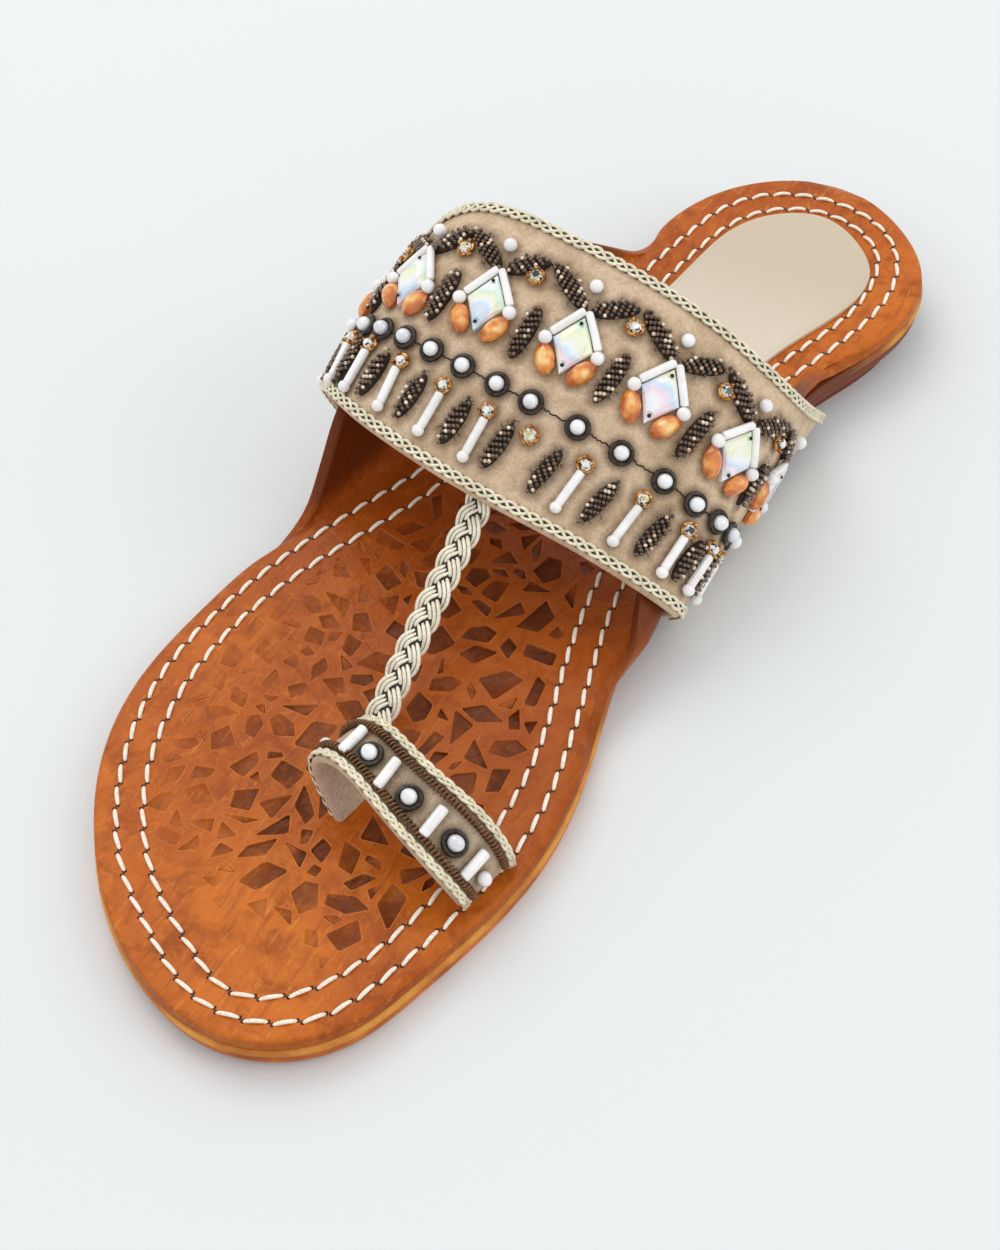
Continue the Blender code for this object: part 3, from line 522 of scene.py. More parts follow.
def leather(name):
    """Tooled, waxed sole leather: marks hold the painted shade on chip floors (red), the painted highlight on
    chip lips (green) and the painted shade on the wings (blue).
    """
    paint = Paint(name, Specular_IOR_Level=0.25, Specular_Tint=(1.0, 0.72, 0.48, 1.0), Coat_Weight=0.1,
                  Coat_Roughness=0.2)
    broad = paint.noise(30.0, 3.0, 0.6)
    patch = paint.noise(8.0, 5.0, 0.65, 0.8)
    cloud = paint.noise(3.2, 5.0, 0.7, 1.2)
    streak = paint.noise(1.7, 4.0, 0.65, vector=paint.stretched((1.0, 0.16, 1.0), 0.5))
    scratch = paint.noise(0.8, 3.0, 0.6, vector=paint.stretched((1.0, 0.12, 1.0), -0.6))
    colour = paint.mix(paint.between(broad, 0.36, 0.66), srgb(178, 84, 18), srgb(206, 108, 28))
    for value, low, high, most, tone in (
            (patch, 0.44, 0.7, 0.62, (136, 54, 12)), (cloud, 0.5, 0.72, 0.6, (218, 124, 38)),
            (streak, 0.5, 0.74, 0.5, (140, 58, 14)), (scratch, 0.58, 0.74, 0.5, (232, 148, 78))):
        colour = paint.over(colour, value, low, high, most, tone)
    # Painted highlight: the chip lips (mark 1) lightened as lit ridges.
    colour = paint.mix(paint.math("MULTIPLY", paint.mark(1), 0.9), colour, srgb(234, 142, 62))
    # Painted shade: darker toward the medial side and the strap, fading out behind it over the heel.
    x, y, _ = paint.axes()
    slant = paint.math("ADD", paint.math("MULTIPLY", x, 0.6), paint.math("MULTIPLY", y, 0.8))
    behind, before = paint.between(slant, -0.08, -0.005), paint.between(y, 0.01, 0.06, 0.58, 0.0)
    colour = paint.mix(paint.math("MULTIPLY", behind, before), colour, srgb(138, 54, 4))
    # Painted shade: chip floors and the rim (mark 0) darkened by their depth, made patchy by the cloud noise.
    floor, floor_shade_patches = paint.between(paint.mark(0), 0.0, 0.8), paint.between(cloud, 0.3, 0.7, 1.0, 0.7)
    colour = paint.mix(paint.math("MULTIPLY", floor, floor_shade_patches), colour, srgb(80, 30, 9))
    # Painted shade: darker where the wings (mark 2) rise beside the strap.
    colour = paint.over(colour, paint.mark(2), 0.02, 0.5, 0.85, (100, 42, 15))
    relief = paint.bump(paint.noise(3.4, 3.0, 0.6, 0.4), 0.5)
    relief = paint.bump(scratch, 0.1, paint.bump(streak, 0.2, relief))
    relief = paint.bump(paint.noise(0.8, 3.0), 0.09, relief)
    rough = paint.between(patch, 0.3, 0.7, 0.32, 0.46)
    rough = paint.math("ADD", rough, paint.math("MULTIPLY", paint.mark(0), 0.15))
    return paint.finish(colour, rough, relief)


def cut_edge(name, light, dark, shade=0.55, waist_shade=None, until=1.0):
    """Edge of a leather layer: waxed, with faint lines along it, and darkened by a painted shade from the
    waist back to y until.
    """
    paint = Paint(name, Specular_IOR_Level=0.3)
    lines = paint.noise(0.5, 3.0, 0.6, vector=paint.stretched((0.12, 0.12, 1.0)))
    blotch = paint.noise(9.0, 3.0)
    colour = paint.mix(paint.between(blotch, 0.35, 0.7), srgb(*light), srgb(*dark))
    colour = paint.over(colour, lines, 0.45, 0.7, shade, dark)
    # Painted shade: the edge darkened from the waist back to y until.
    if waist_shade is not None:
        y = paint.axes()[1]
        behind, before = paint.between(y, -0.045, -0.01), paint.between(y, until, until + 0.02, 1.0, 0.0)
        colour = paint.mix(paint.math("MULTIPLY", behind, before), colour, srgb(*waist_shade))
    relief = paint.bump(lines, 0.1, paint.bump(paint.noise(1.2), 0.06))
    return paint.finish(colour, paint.between(blotch, 0.3, 0.7, 0.36, 0.55), relief)


def velvet(name, light, dark):
    """Short nap, mottled where it leans one way or the other; marks (red) hold the shade beside beads."""
    paint = Paint(name, Roughness=0.9, Specular_IOR_Level=0.15, Sheen_Weight=0.35, Sheen_Roughness=0.45,
                  Sheen_Tint=(0.95, 0.86, 0.74, 1.0))
    lean = paint.noise(9.0, 4.0, 0.65, 0.8)
    nap = paint.noise(0.55, 3.0, 0.7)
    hair = paint.noise(0.34, 2.0, 0.7, vector=paint.stretched((1.0, 0.2, 1.0), 0.4))
    colour = paint.mix(paint.between(lean, 0.36, 0.68), srgb(*light), srgb(*dark))
    colour = paint.over(colour, nap, 0.35, 0.7, 0.36, (150, 122, 92))
    colour = paint.over(colour, hair, 0.52, 0.72, 0.5, (232, 210, 182))
    colour = paint.mix(paint.math("MULTIPLY", paint.mark(0), 0.55), colour, srgb(104, 80, 58))
    return paint.finish(colour, None, paint.bump(hair, 0.12, paint.bump(nap, 0.16)))


def cord(name, light, dark, metallic=0.35):
    """Metallic thread: fine strands along the cord."""
    paint = Paint(name, Roughness=0.42, Metallic=metallic, Specular_IOR_Level=0.5)
    fibre = paint.noise(0.35, 3.0, 0.7)
    colour = paint.over(srgb(*light), fibre, 0.45, 0.72, 0.8, dark)
    colour = paint.over(colour, paint.noise(3.0, 2.0), 0.4, 0.7, 0.35, dark)
    return paint.finish(colour, None, paint.bump(fibre, 0.1))


def thread(name, light, dark):
    """Waxed sewing thread; darker, the same look paints the shade inside needle and bead holes."""
    paint = Paint(name, Roughness=0.55, Specular_IOR_Level=0.35)
    twist = paint.noise(0.45, 2.0, 0.6)
    return paint.finish(paint.over(srgb(*light), twist, 0.4, 0.7, 1.0, dark), None, paint.bump(twist, 0.08))


def glossy(name, light, dark, roughness, metallic, size, coat=0.0):
    """Glass, enamel or metal bead with a change of tone over about size millimetres."""
    paint = Paint(name, Roughness=roughness, Metallic=metallic, Coat_Weight=coat)
    return paint.finish(paint.over(srgb(*light), paint.noise(size, 2.0, 0.6), 0.4, 0.62, 1.0, dark))


def iridescent(name):
    """Clear stone with a rainbow coat: pastel bands from its lower point (mark 0) to its upper point."""
    paint = Paint(name, Roughness=0.08, Specular_IOR_Level=0.7, Coat_Weight=0.8, Coat_Roughness=0.03)
    drift = paint.noise(16.0, 2.0, 0.5)
    place = paint.math("ADD", paint.mark(0), paint.between(drift, 0.3, 0.7, -0.28, 0.28), clamp=True)
    bands = paint.add("ShaderNodeValToRGB", {"Fac": place})
    stops = bands.color_ramp.elements
    stops[0].position, stops[1].position = 0.0, 1.0
    stops[0].color, stops[1].color = (0.92, 0.93, 0.95, 1.0), (0.93, 0.96, 0.95, 1.0)
    for at, tone in ((0.14, (250, 222, 234)), (0.30, (206, 232, 250)), (0.46, (246, 249, 250)),
                     (0.66, (247, 246, 206)), (0.80, (214, 242, 218)), (0.90, (236, 249, 244))):
        stops.new(at).color = (*srgb(*tone), 1.0)
    return paint.finish(bands.outputs[0])


def amber(name):
    """Amber glass, lit through: bright at the middle of its table (mark 0), deeper toward its rim."""
    paint = Paint(name, Roughness=0.08, Specular_IOR_Level=0.6, Coat_Weight=0.8, Coat_Roughness=0.03)
    facet = paint.noise(2.6, 1.0, 0.5)
    glow = paint.math("ADD", paint.mark(0), paint.between(facet, 0.35, 0.65, -0.3, 0.3), clamp=True)
    colour = paint.over(srgb(200, 100, 26), glow, 0.05, 0.6, 1.0, (240, 150, 56))
    return paint.finish(paint.over(colour, glow, 0.55, 1.0, 1.0, (255, 214, 138)))


TAN = leather("tan_sole_leather")
# The yellow and red edges' last colour gives a painted shade from the waist back.
YELLOW_EDGE = cut_edge("yellow_layer_leather", (226, 152, 56), (186, 106, 34), 0.35, (112, 56, 24), 0.07)
RED_EDGE = cut_edge("red_brown_leather", (216, 122, 42), (162, 80, 26), 0.55, (118, 56, 28))
HEEL_EDGE = cut_edge("heel_leather", (140, 76, 38), (84, 42, 22))
NAP = velvet("beige_velvet", (234, 206, 174), (204, 174, 141))
RING_NAP = velvet("taupe_velvet", (206, 184, 156), (174, 150, 124))
LINING = velvet("grey_taupe_lining", (202, 176, 154), (176, 150, 130))
GOLD_CORD = cord("pale_gold_cord", (252, 243, 216), (182, 164, 126))
DARK_CORD = cord("dark_cord", (52, 44, 32), (24, 20, 14), 0.2)
BRAID_CORD = cord("braid_cord", (255, 250, 232), (214, 198, 166), 0.3)
BULLION = cord("bronze_bullion", (138, 96, 62), (50, 32, 20), 0.5)
STITCH = thread("cream_thread", (255, 249, 234), (238, 220, 190))
DARK_THREAD = thread("dark_thread", (52, 38, 26), (24, 18, 12))
# Painted shade: the walls of the needle holes are dark to stand for the shade inside them.
NEEDLE_HOLE_SHADE = thread("needle_hole_shade", (84, 40, 18), (50, 24, 12))
# Painted shade: dark discs stand for the shade inside the crystals' holes.
BEAD_HOLE_SHADE = thread("bead_hole_shade", (34, 30, 26), (16, 14, 12))
PEARL = glossy("pearl", (252, 249, 247), (242, 236, 236), 0.16, 0.0, 6.0, 0.6)
SILVER_PEARL = glossy("silver_pearl", (250, 250, 250), (226, 226, 230), 0.1, 0.15, 6.0, 0.8)
BUGLE = glossy("white_bugle", (253, 251, 249), (242, 237, 233), 0.14, 0.0, 5.0, 0.6)
BRONZE = glossy("bronze_seed", (120, 88, 62), (54, 36, 24), 0.15, 0.4, 1.1, 1.0)
# Painted highlight: pale beads scattered among the bronze ones stand for glints.
GLINT = glossy("glint_seed", (242, 226, 204), (206, 180, 150), 0.14, 0.4, 1.1, 0.8)
WIRE = glossy("dark_wire", (66, 56, 46), (34, 28, 24), 0.32, 0.3, 0.9)
AMBER = amber("amber_glass")
RAINBOW = iridescent("rainbow_crystal")
CRYSTAL_PAINTS = (RAINBOW, BEAD_HOLE_SHADE, BUGLE, PEARL, AMBER)
# Painted reflections: a rhinestone's facets take the bright, dark or pale stone paint at random.
STONE_PAINTS = (glossy("gold_claw", (226, 168, 92), (170, 100, 44), 0.2, 0.85, 0.9),
                glossy("stone_bright", (252, 252, 250), (226, 226, 220), 0.05, 0.0, 1.0, 1.0),
                glossy("stone_dark", (52, 46, 36), (18, 16, 14), 0.05, 0.0, 1.0, 1.0),
                glossy("stone_pale", (226, 218, 176), (190, 176, 130), 0.05, 0.0, 1.0, 1.0))


# ---------------------------------------------------------------- the top sole as a sheet to draw on

def smooth_height(y, column):
    """Height of a wing at the station y, with the table's corners rounded."""
    near = y + np.linspace(-5.0, 5.0, 11)
    return float(np.interp(near, [row[0] for row in WING_ROWS], [row[column] for row in WING_ROWS]).mean())


def form_side(y, side, inset):
    """Dense (x, z) run up one side of the form from its hem, drawn in by inset."""
    girth = np.linspace(0.0, 0.34, 60) if side > 0 else np.linspace(1.0, 0.60, 60)
    rows = np.array([row[1:] for row in FORM_ROWS], float)
    run = spline(FORM_GIRTH, spline([row[0] for row in FORM_ROWS], rows, y)[0], girth)
    tangent = unit(np.gradient(run, axis=0))
    return run + np.stack([-tangent[:, 1], tangent[:, 0]], axis=1) * side * inset


def margin_path(y, side, edge, base, band):
    """Half of the top sole's lower face at one station: from inside its margin out to its rim."""
    height = smooth_height(y, 2 if side > 0 else 1)
    flat = np.array([edge - side * band, base])
    if height < 0.02:
        return resample([flat, (edge, base)], WING_POINTS)
    run = form_side(y, side, STRAP_WALL + WING_CLEARANCE)
    z = base + height * np.linspace(0.0, 1.0, 12)
    wall = np.stack([np.interp(z, run[:, 1], run[:, 0]), z], axis=1)
    wall[:, 0] = edge + (wall[:, 0] - edge) * ramp(height / 10.0)
    fillet = min(WING_FILLET, 0.8 * height)
    start = wall[0] - (side * fillet, 0.0)
    rise = wall[0, 1] + min(fillet, height * 0.6)
    end = np.array([np.interp(rise, wall[:, 1], wall[:, 0]), rise])
    arc = [(1 - t) ** 2 * start + 2 * t * (1 - t) * wall[0] + t * t * end for t in np.linspace(0, 1, 9)]
    above = [point for point in wall if point[1] > rise + 0.2]
    return resample([flat, *arc, *above], WING_POINTS)


def sole_stations(count):
    """Stations along the sole, closer together at its round ends."""
    low, high = OUTLINE[:, 1].min() + 0.03, OUTLINE[:, 1].max() - 0.03
    rounds = (low + high) / 2 - (high - low) / 2 * np.cos(np.linspace(0.0, math.pi, count))
    return 0.75 * rounds + 0.25 * np.linspace(low, high, count)


class Sheet:
    """The top sole unrolled: (u, y), where u is x on the flat part and runs on up the wings."""

    def __init__(self):
        self.y = sole_stations(230)
        lower = []
        for y in self.y:
            lateral, medial = span(OUTLINE, y)
            base = seat_height(y) - TOP_SOLE
            band = min(WING_BAND, 0.3 * (medial - lateral))
            left = margin_path(y, -1, lateral, base, band)[::-1]
            right = margin_path(y, 1, medial, base, band)
            flat = np.linspace(left[-1], right[0], 21)[1:-1]
            row = np.concatenate([left, flat, right])
            lower.append(np.stack([row[:, 0], np.full(len(row), y), row[:, 1]], axis=1))
        self.lower = np.array(lower)
        along, across = np.gradient(self.lower, self.y, axis=0), np.gradient(self.lower, axis=1)
        self.normal = unit(np.cross(across, along))
        for _ in range(NORMAL_PASSES):
            self.normal[1:-1] = unit(self.normal[:-2] + 2 * self.normal[1:-1] + self.normal[2:])
        self.upper = self.lower + self.normal * TOP_SOLE
        run = np.zeros(self.lower.shape[:2])
        run[:, 1:] = np.cumsum(np.linalg.norm(np.diff(self.lower, axis=1), axis=2), axis=1)
        middle = self.lower.shape[1] // 2
        self.u = run - run[:, middle:middle + 1] + self.lower[:, middle, :1]

    def rim(self, y):
        """u at the lateral and medial rims."""
        return np.interp(y, self.y, self.u[:, 0]), np.interp(y, self.y, self.u[:, -1])

    def read(self, table, u, y):
        u, y = np.asarray(u, float), np.asarray(y, float)
        row = np.clip(np.searchsorted(self.y, y) - 1, 0, len(self.y) - 2)
        blend = np.clip((y - self.y[row]) / (self.y[row + 1] - self.y[row]), 0.0, 1.0)[:, None]
        low_rim, high_rim = self.rim(y)
        share = (u - low_rim) / np.maximum(high_rim - low_rim, 1e-6)
        out = np.zeros((len(u), 3))
        for step, weight in ((0, 1.0 - blend), (1, blend)):
            value = np.zeros((len(u), 3))
            for k in np.unique(row):
                here = row == k
                knots = self.u[k + step]
                at = knots[0] + share[here] * (knots[-1] - knots[0])
                for axis in range(3):
                    value[here, axis] = np.interp(at, knots, table[k + step, :, axis])
            out += value * weight
        return out

    def top(self, u, y, lift=0.0):
        normal = unit(self.read(self.normal, u, y))
        return self.read(self.upper, u, y) + normal * np.broadcast_to(lift, (len(normal),))[:, None]


SHEET = Sheet()


def polygon_offset(corners, amount):
    """Convex polygon grown by amount on every side."""
    corners = np.asarray(corners, float)
    middle = corners.mean(axis=0)
    before, after = np.roll(corners, 1, axis=0), np.roll(corners, -1, axis=0)
    first, second = unit(corners - before), unit(after - corners)
    out = []
    for corner, a, b in zip(corners, first, second):
        na, nb = np.array([a[1], -a[0]]), np.array([b[1], -b[0]])
        if na @ (corner - middle) + nb @ (corner - middle) < 0:
            na, nb = -na, -nb
        half = unit(na + nb)
        out.append(corner + half * amount / max(0.45, half @ na))
    return np.array(out)


def convex_clear(a, b, gap):
    """True if two convex polygons lie at least gap apart."""
    for polygon in (a, b):
        edges = np.roll(polygon, -1, axis=0) - polygon
        for edge in edges:
            normal = np.array([edge[1], -edge[0]]) / max(1e-6, np.linalg.norm(edge))
            pa, pb = a @ normal, b @ normal
            if pa.min() - pb.max() > gap or pb.min() - pa.max() > gap:
                return True
    return False


def chip_shape(rng, size):
    """Corners of one tooled chip: a triangle, kite, trapezoid or five-sided flake, mostly long."""
    corners = rng.choice((3, 4, 4, 4, 5))
    start = rng.uniform(0.0, 2 * math.pi)
    stretch = rng.uniform(0.42, 0.85)
    lean = rng.uniform(0.0, math.pi)
    points = []
    for k in range(corners):
        turn = start + 2 * math.pi * (k + rng.uniform(-0.26, 0.26)) / corners
        reach = size / 2 * rng.uniform(0.8, 1.2)
        x, y = reach * math.cos(turn), reach * math.sin(turn) * stretch
        points.append((x * math.cos(lean) - y * math.sin(lean), x * math.sin(lean) + y * math.cos(lean)))
    return np.array(points)


def rounded(polygon, cut):
    """Polygon with each corner cut into two, a share cut along its sides."""
    after, before = np.roll(polygon, -1, axis=0), np.roll(polygon, 1, axis=0)
    pairs = np.stack([polygon + (before - polygon) * cut, polygon + (after - polygon) * cut], axis=1)
    return pairs.reshape(-1, 2)


def place_chips():
    """Chips over the footbed inside the inner stitches: (polygon, depth share) each."""
    rng = random.Random(11)
    inner = rows_to_ring(INNER_STITCHES, INNER_TIPS, 240)
    thick = np.array((0.6, 0.1))
    slits = [polygon_offset(np.array([back[:2], front[:2], front[:2] + thick, back[:2] + thick]), CHIP_MARGIN)
             for back, front in (RING_ROWS[0], RING_ROWS[-1])]
    chips, centres = [], np.empty((0, 2))
    for attempt in range(CHIP_TRIES):
        y = rng.uniform(CHIP_FRONT, CHIP_BACK)
        lateral, medial = span(inner, y)
        x = rng.uniform(lateral, medial)
        fade = float(ramp((y - CHIP_FRONT + 0.15 * x) / 20.0) * (0.34 + 0.66 * ramp((x + 34.0) / 36.0)))
        size = rng.uniform(*(LARGE_CHIP if attempt < LARGE_CHIP_TRIES else SMALL_CHIP))
        shape = chip_shape(rng, size * (0.7 + 0.3 * fade)) + (x, y)
        if (shape[:, 0].min() < lateral + CHIP_MARGIN or shape[:, 0].max() > medial - CHIP_MARGIN
                or shape[:, 1].max() > CHIP_LIMIT):
            continue
        shape = rounded(shape, rng.uniform(0.04, 0.12))
        near = np.nonzero(np.linalg.norm(centres - (x, y), axis=1) < CHIP_REACH)[0]
        clear_of_slits = all(convex_clear(shape, slit, 0.0) for slit in slits)
        if clear_of_slits and all(convex_clear(shape, chips[k][0], CHIP_GAP) for k in near):
            chips.append((shape, fade * rng.uniform(0.55, 1.0)))
            centres = np.vstack([centres, (x, y)])
    return chips


def sheet_plan(chips):
    """Points of the top sole in its unrolled plan: flat places, heights, marks and the edges to keep."""
    points, heights, marks, edges = [], [], [], []

    def add_loop(loop, height, mark, closed=True):
        """height and mark are one value, or one for each point; mark is (floor, lip): the painted shade of
        chip floors and the painted highlight of chip lips.
        """
        first, count = len(points), len(loop)
        points.extend(map(tuple, loop))
        heights.extend(np.broadcast_to(height, (count,)))
        marks.extend(np.broadcast_to(mark, (count, 2)))
        edges.extend((first + k, first + (k + 1) % count) for k in range(count if closed else count - 1))

    low, high, y = SHEET.u[:, 0], SHEET.u[:, -1], SHEET.y
    rim = np.concatenate([
        np.stack([low, y], axis=1),
        np.stack([np.linspace(low[-1], high[-1], 6)[1:-1], np.full(4, y[-1])], axis=1),
        np.stack([high, y], axis=1)[::-1],
        np.stack([np.linspace(high[0], low[0], 6)[1:-1], np.full(4, y[0])], axis=1)])
    add_loop(rim, -RIM_DROP, (RIM_SHADE, 0.0))
    for inset, height in RIM_LOOPS:
        loop = np.stack([np.concatenate([low[4:-4] + inset, high[4:-4][::-1] - inset]),
                         np.concatenate([y[4:-4], y[4:-4][::-1]])], axis=1)
        add_loop(loop, height, (0.0, 0.0), closed=False)
    rng = random.Random(4)
    for shape, depth in chips:
        way = rng.uniform(0.0, 2 * math.pi)
        slope = (shape - shape.mean(axis=0)) @ (math.cos(way), math.sin(way))
        slope = 0.25 + 0.75 * (slope - slope.min()) / max(np.ptp(slope), 0.1)
        none = np.zeros(len(shape))
        foot, lip, floor = (polygon_offset(shape, amount) for amount in CHIP_EDGES)
        add_loop(foot, 0.0, (0.0, 0.0))
        # The lip's mark is its painted highlight and the floor's its painted shade, both stronger toward the
        # chip's deep side.
        add_loop(lip, CHIP_LIP * depth * slope, np.stack([none, depth * slope], axis=1))
        add_loop(floor, -CHIP_DEPTH * depth * slope, np.stack([depth * (0.6 + 0.4 * slope), none], axis=1))
    outers = [polygon_offset(shape, 0.75) for shape, _ in chips]
    lowest, highest = (np.array([end(outer, axis=0) for outer in outers]) for end in (np.min, np.max))
    for i in range(1, SHEET_ROWS):
        at = y[0] + i * SHEET_STEP * 0.87
        lateral, medial = (float(v) for v in SHEET.rim(at))
        for x in np.arange(lateral + 1.7 + (i % 2) * SHEET_STEP / 2, medial - 1.6, SHEET_STEP):
            near = np.nonzero(np.all((lowest < (x, at)) & (highest > (x, at)), axis=1))[0]
            if all(convex_clear(outers[k], np.array([(x, at), (x + 0.01, at)]), 0.0) for k in near):
                points.append((x, at))
                heights.append(0.0)
                marks.append((0.0, 0.0))
    return points, np.array(heights), np.array(marks), edges


def triangulated(points, edges):
    """Plan triangles, all counterclockwise: places, triangles and the point each place comes from or -1."""
    made = geometry.delaunay_2d_cdt([Vector(p) for p in points], edges, [], 1, 1e-5)
    flat = np.array([(v.x, v.y) for v in made[0]])
    triangles = []
    for triangle in made[2]:
        a, b, c = (flat[i] for i in triangle)
        rising = (b[0] - a[0]) * (c[1] - a[1]) - (b[1] - a[1]) * (c[0] - a[0]) > 0
        triangles.append(tuple(triangle) if rising else tuple(triangle)[::-1])
    return flat, triangles, np.array([origin[0] if origin else -1 for origin in made[3]])


def add_top_sole():
    """The top sole, its chips sunk between raised lips, as one closed shell."""
    points, heights, shades, edges = sheet_plan(place_chips())
    flat, triangles, source = triangulated(points, edges)
    heights = np.where(source < 0, 0.0, heights[source])
    top = SHEET.top(flat[:, 0], flat[:, 1], heights)
    bottom = SHEET.read(SHEET.lower, flat[:, 0], flat[:, 1])
    count = len(flat)
    marks = np.ones((count, 4))
    marks[:, :2] = np.where(source[:, None] < 0, 0.0, shades[source])
    # Mark 2 is how high a wing rises, for the painted shade on the wings.
    marks[:, 2] = np.clip((top[:, 2] - seat_height(flat[:, 1]) - 0.6) / 10.0, 0.0, 1.0)
    faces, sides = [], {}
    for triangle in triangles:
        faces.append(triangle)
        faces.append(tuple(count + i for i in reversed(triangle)))
        for here, there in zip(triangle, (*triangle[1:], triangle[0])):
            sides[(here, there)] = True
    for here, there in sides:
        if (there, here) not in sides:
            faces.append((there, here, count + here, count + there))
    add_piece("top_sole_tooled", np.concatenate([top, bottom]), faces, [TAN],
              ("top_sole",), marks=np.concatenate([marks, marks]), sharp=50)


def plan_cap(ring, z_of, flip):
    """Triangles over a closed outline, following a height that changes along the foot."""
    points = [tuple(p) for p in ring]
    edges = [(k, (k + 1) % len(ring)) for k in range(len(ring))]
    for y in np.arange(ring[:, 1].min() + 3.0, ring[:, 1].max() - 3.0, 5.0):
        lateral, medial = span(ring, y)
        points.extend((x, y) for x in np.linspace(lateral, medial, 8)[1:-1])
    flat, triangles, _ = triangulated(points, edges)
    return np.column_stack([flat, z_of(flat[:, 1])]), [t[::-1] if flip else t for t in triangles]


def layer_outline(inset, start, count):
    """Plan of a sole layer, cut off straight at the station start."""
    ring = sole_outline(inset, count)
    if start is None:
        return ring
    keep = ring[ring[:, 1] > start]
    split = int(np.argmax(np.linalg.norm(np.diff(keep, axis=0), axis=1))) + 1
    if np.linalg.norm(keep[0] - keep[-1]) < 5:
        keep = np.concatenate([keep[split:], keep[:split]])
    return resample(np.vstack([(keep[0, 0], start), keep, (keep[-1, 0], start)]), count - 20)


def add_layer(name, node, slot, paint, inset, drop, thickness, bulge, start=None, count=420):
    """A sole layer with a rounded edge; drop is how far its upper face lies under the seat."""
    levels = [(inset + bulge * (1.0 - math.sin(turn)), -drop - thickness * (1.0 - math.cos(turn)) / 2)
              for turn in np.linspace(0.0, math.pi, 9)]
    rings = []
    for at, z in levels:
        ring = layer_outline(at, start, count)
        rings.append(np.column_stack([ring, seat_height(ring[:, 1]) + z]))
    sides = len(rings[0])
    faces = []
    for k in range(len(rings) - 1):
        for j in range(sides):
            a, b = k * sides + j, k * sides + (j + 1) % sides
            faces.append((a, a + sides, b + sides, b))
    heap = Heap()
    heap.add((np.concatenate(rings), faces))
    for k, flip in ((0, False), (-1, True)):
        heap.add(plan_cap(rings[k][:, :2], lambda y: seat_height(y) + levels[k][1], flip))
    weld(heap.finish(name, slot, [paint], (node,), sharp=40))


def weld(piece):
    """Join the vertices that meet, so the mesh is closed."""
    mesh = bmesh.new()
    mesh.from_mesh(piece.data)
    bmesh.ops.remove_doubles(mesh, verts=mesh.verts, dist=0.002 * MM)
    bmesh.ops.recalc_face_normals(mesh, faces=mesh.faces)
    mesh.to_mesh(piece.data)
    mesh.free()


def add_sole():
    add_top_sole()
    add_layer("midsole_edge", "midsole", "layer_leather", YELLOW_EDGE, MIDSOLE_INSET,
              MIDSOLE_DROP, MIDSOLE, 0.7)
    add_layer("outsole_edge", "outsole", "dark_leather", RED_EDGE, OUTSOLE_INSET,
              OUTSOLE_DROP, OUTSOLE, 0.35)
    add_layer("heel_lift_upper_edge", "heel_lift_upper", "layer_leather", HEEL_EDGE, UPPER_LIFT_INSET,
              LIFT_DROP, UPPER_LIFT, 0.25, HEEL_BREAST, 300)
    add_layer("heel_lift_lower_edge", "heel_lift_lower", "dark_leather", RED_EDGE, LOWER_LIFT_INSET,
              LIFT_DROP + UPPER_LIFT + GAP, LOWER_LIFT, 0.25, HEEL_BREAST, 300)


# ---------------------------------------------------------------- stitches and heel pad

def add_stitches():
    """Two rows of running stitches round the top sole, each with its needle holes."""
    threads, holes = Heap(), Heap()
    for rows, tips in ((OUTER_STITCHES, OUTER_TIPS), (INNER_STITCHES, INNER_TIPS)):
        ring = rows_to_ring(rows, tips, 900)
        ring = np.vstack([ring, ring[:1]])
        run = run_of(ring)
        count = int(round(run[-1] / STITCH_PITCH))
        for k in range(count):
            at = (k + 0.5) * run[-1] / count + np.linspace(-0.5, 0.5, 9) * STITCH_LENGTH
            line = np.stack([np.interp(at % run[-1], run, ring[:, axis]) for axis in range(2)], axis=1)
            way = unit(line[-1] - line[0])
            line = line + np.linspace(-STITCH_SLANT, STITCH_SLANT, 9)[:, None] * np.array([-way[1], way[0]])
            arch = np.sin(np.linspace(0.0, math.pi, 9)) ** 0.6
            path = SHEET.top(line[:, 0], line[:, 1], -STITCH_SINK + STITCH_RISE * arch)
            up = unit(SHEET.top(line[:, 0], line[:, 1], 1.0) - SHEET.top(line[:, 0], line[:, 1], 0.0))
            threads.add(tube(path, up, STITCH_RADIUS * (0.62 + 0.38 * arch), 8, 0.85))
            for end in (0, -1):
                spot = SHEET.top(line[end:][:1, 0], line[end:][:1, 1], 0.05)[0]
                side = np.cross(up[end], np.append(way, 0.0))
                ahead = np.cross(side, up[end])
                # Each hole's walls take the dark hole paint: painted shade inside the hole.
                rim = [spot + HOLE_LENGTH * math.cos(t) * ahead + HOLE_WIDTH * math.sin(t) * side
                       for t in np.arange(8) * math.pi / 4]
                holes.add(loft([[p - up[end] * HOLE_DEPTH for p in rim], rim]))
    threads.finish("sole_stitches", "tan_leather", [STITCH])
    holes.finish("stitch_holes", "tan_leather", [NEEDLE_HOLE_SHADE])


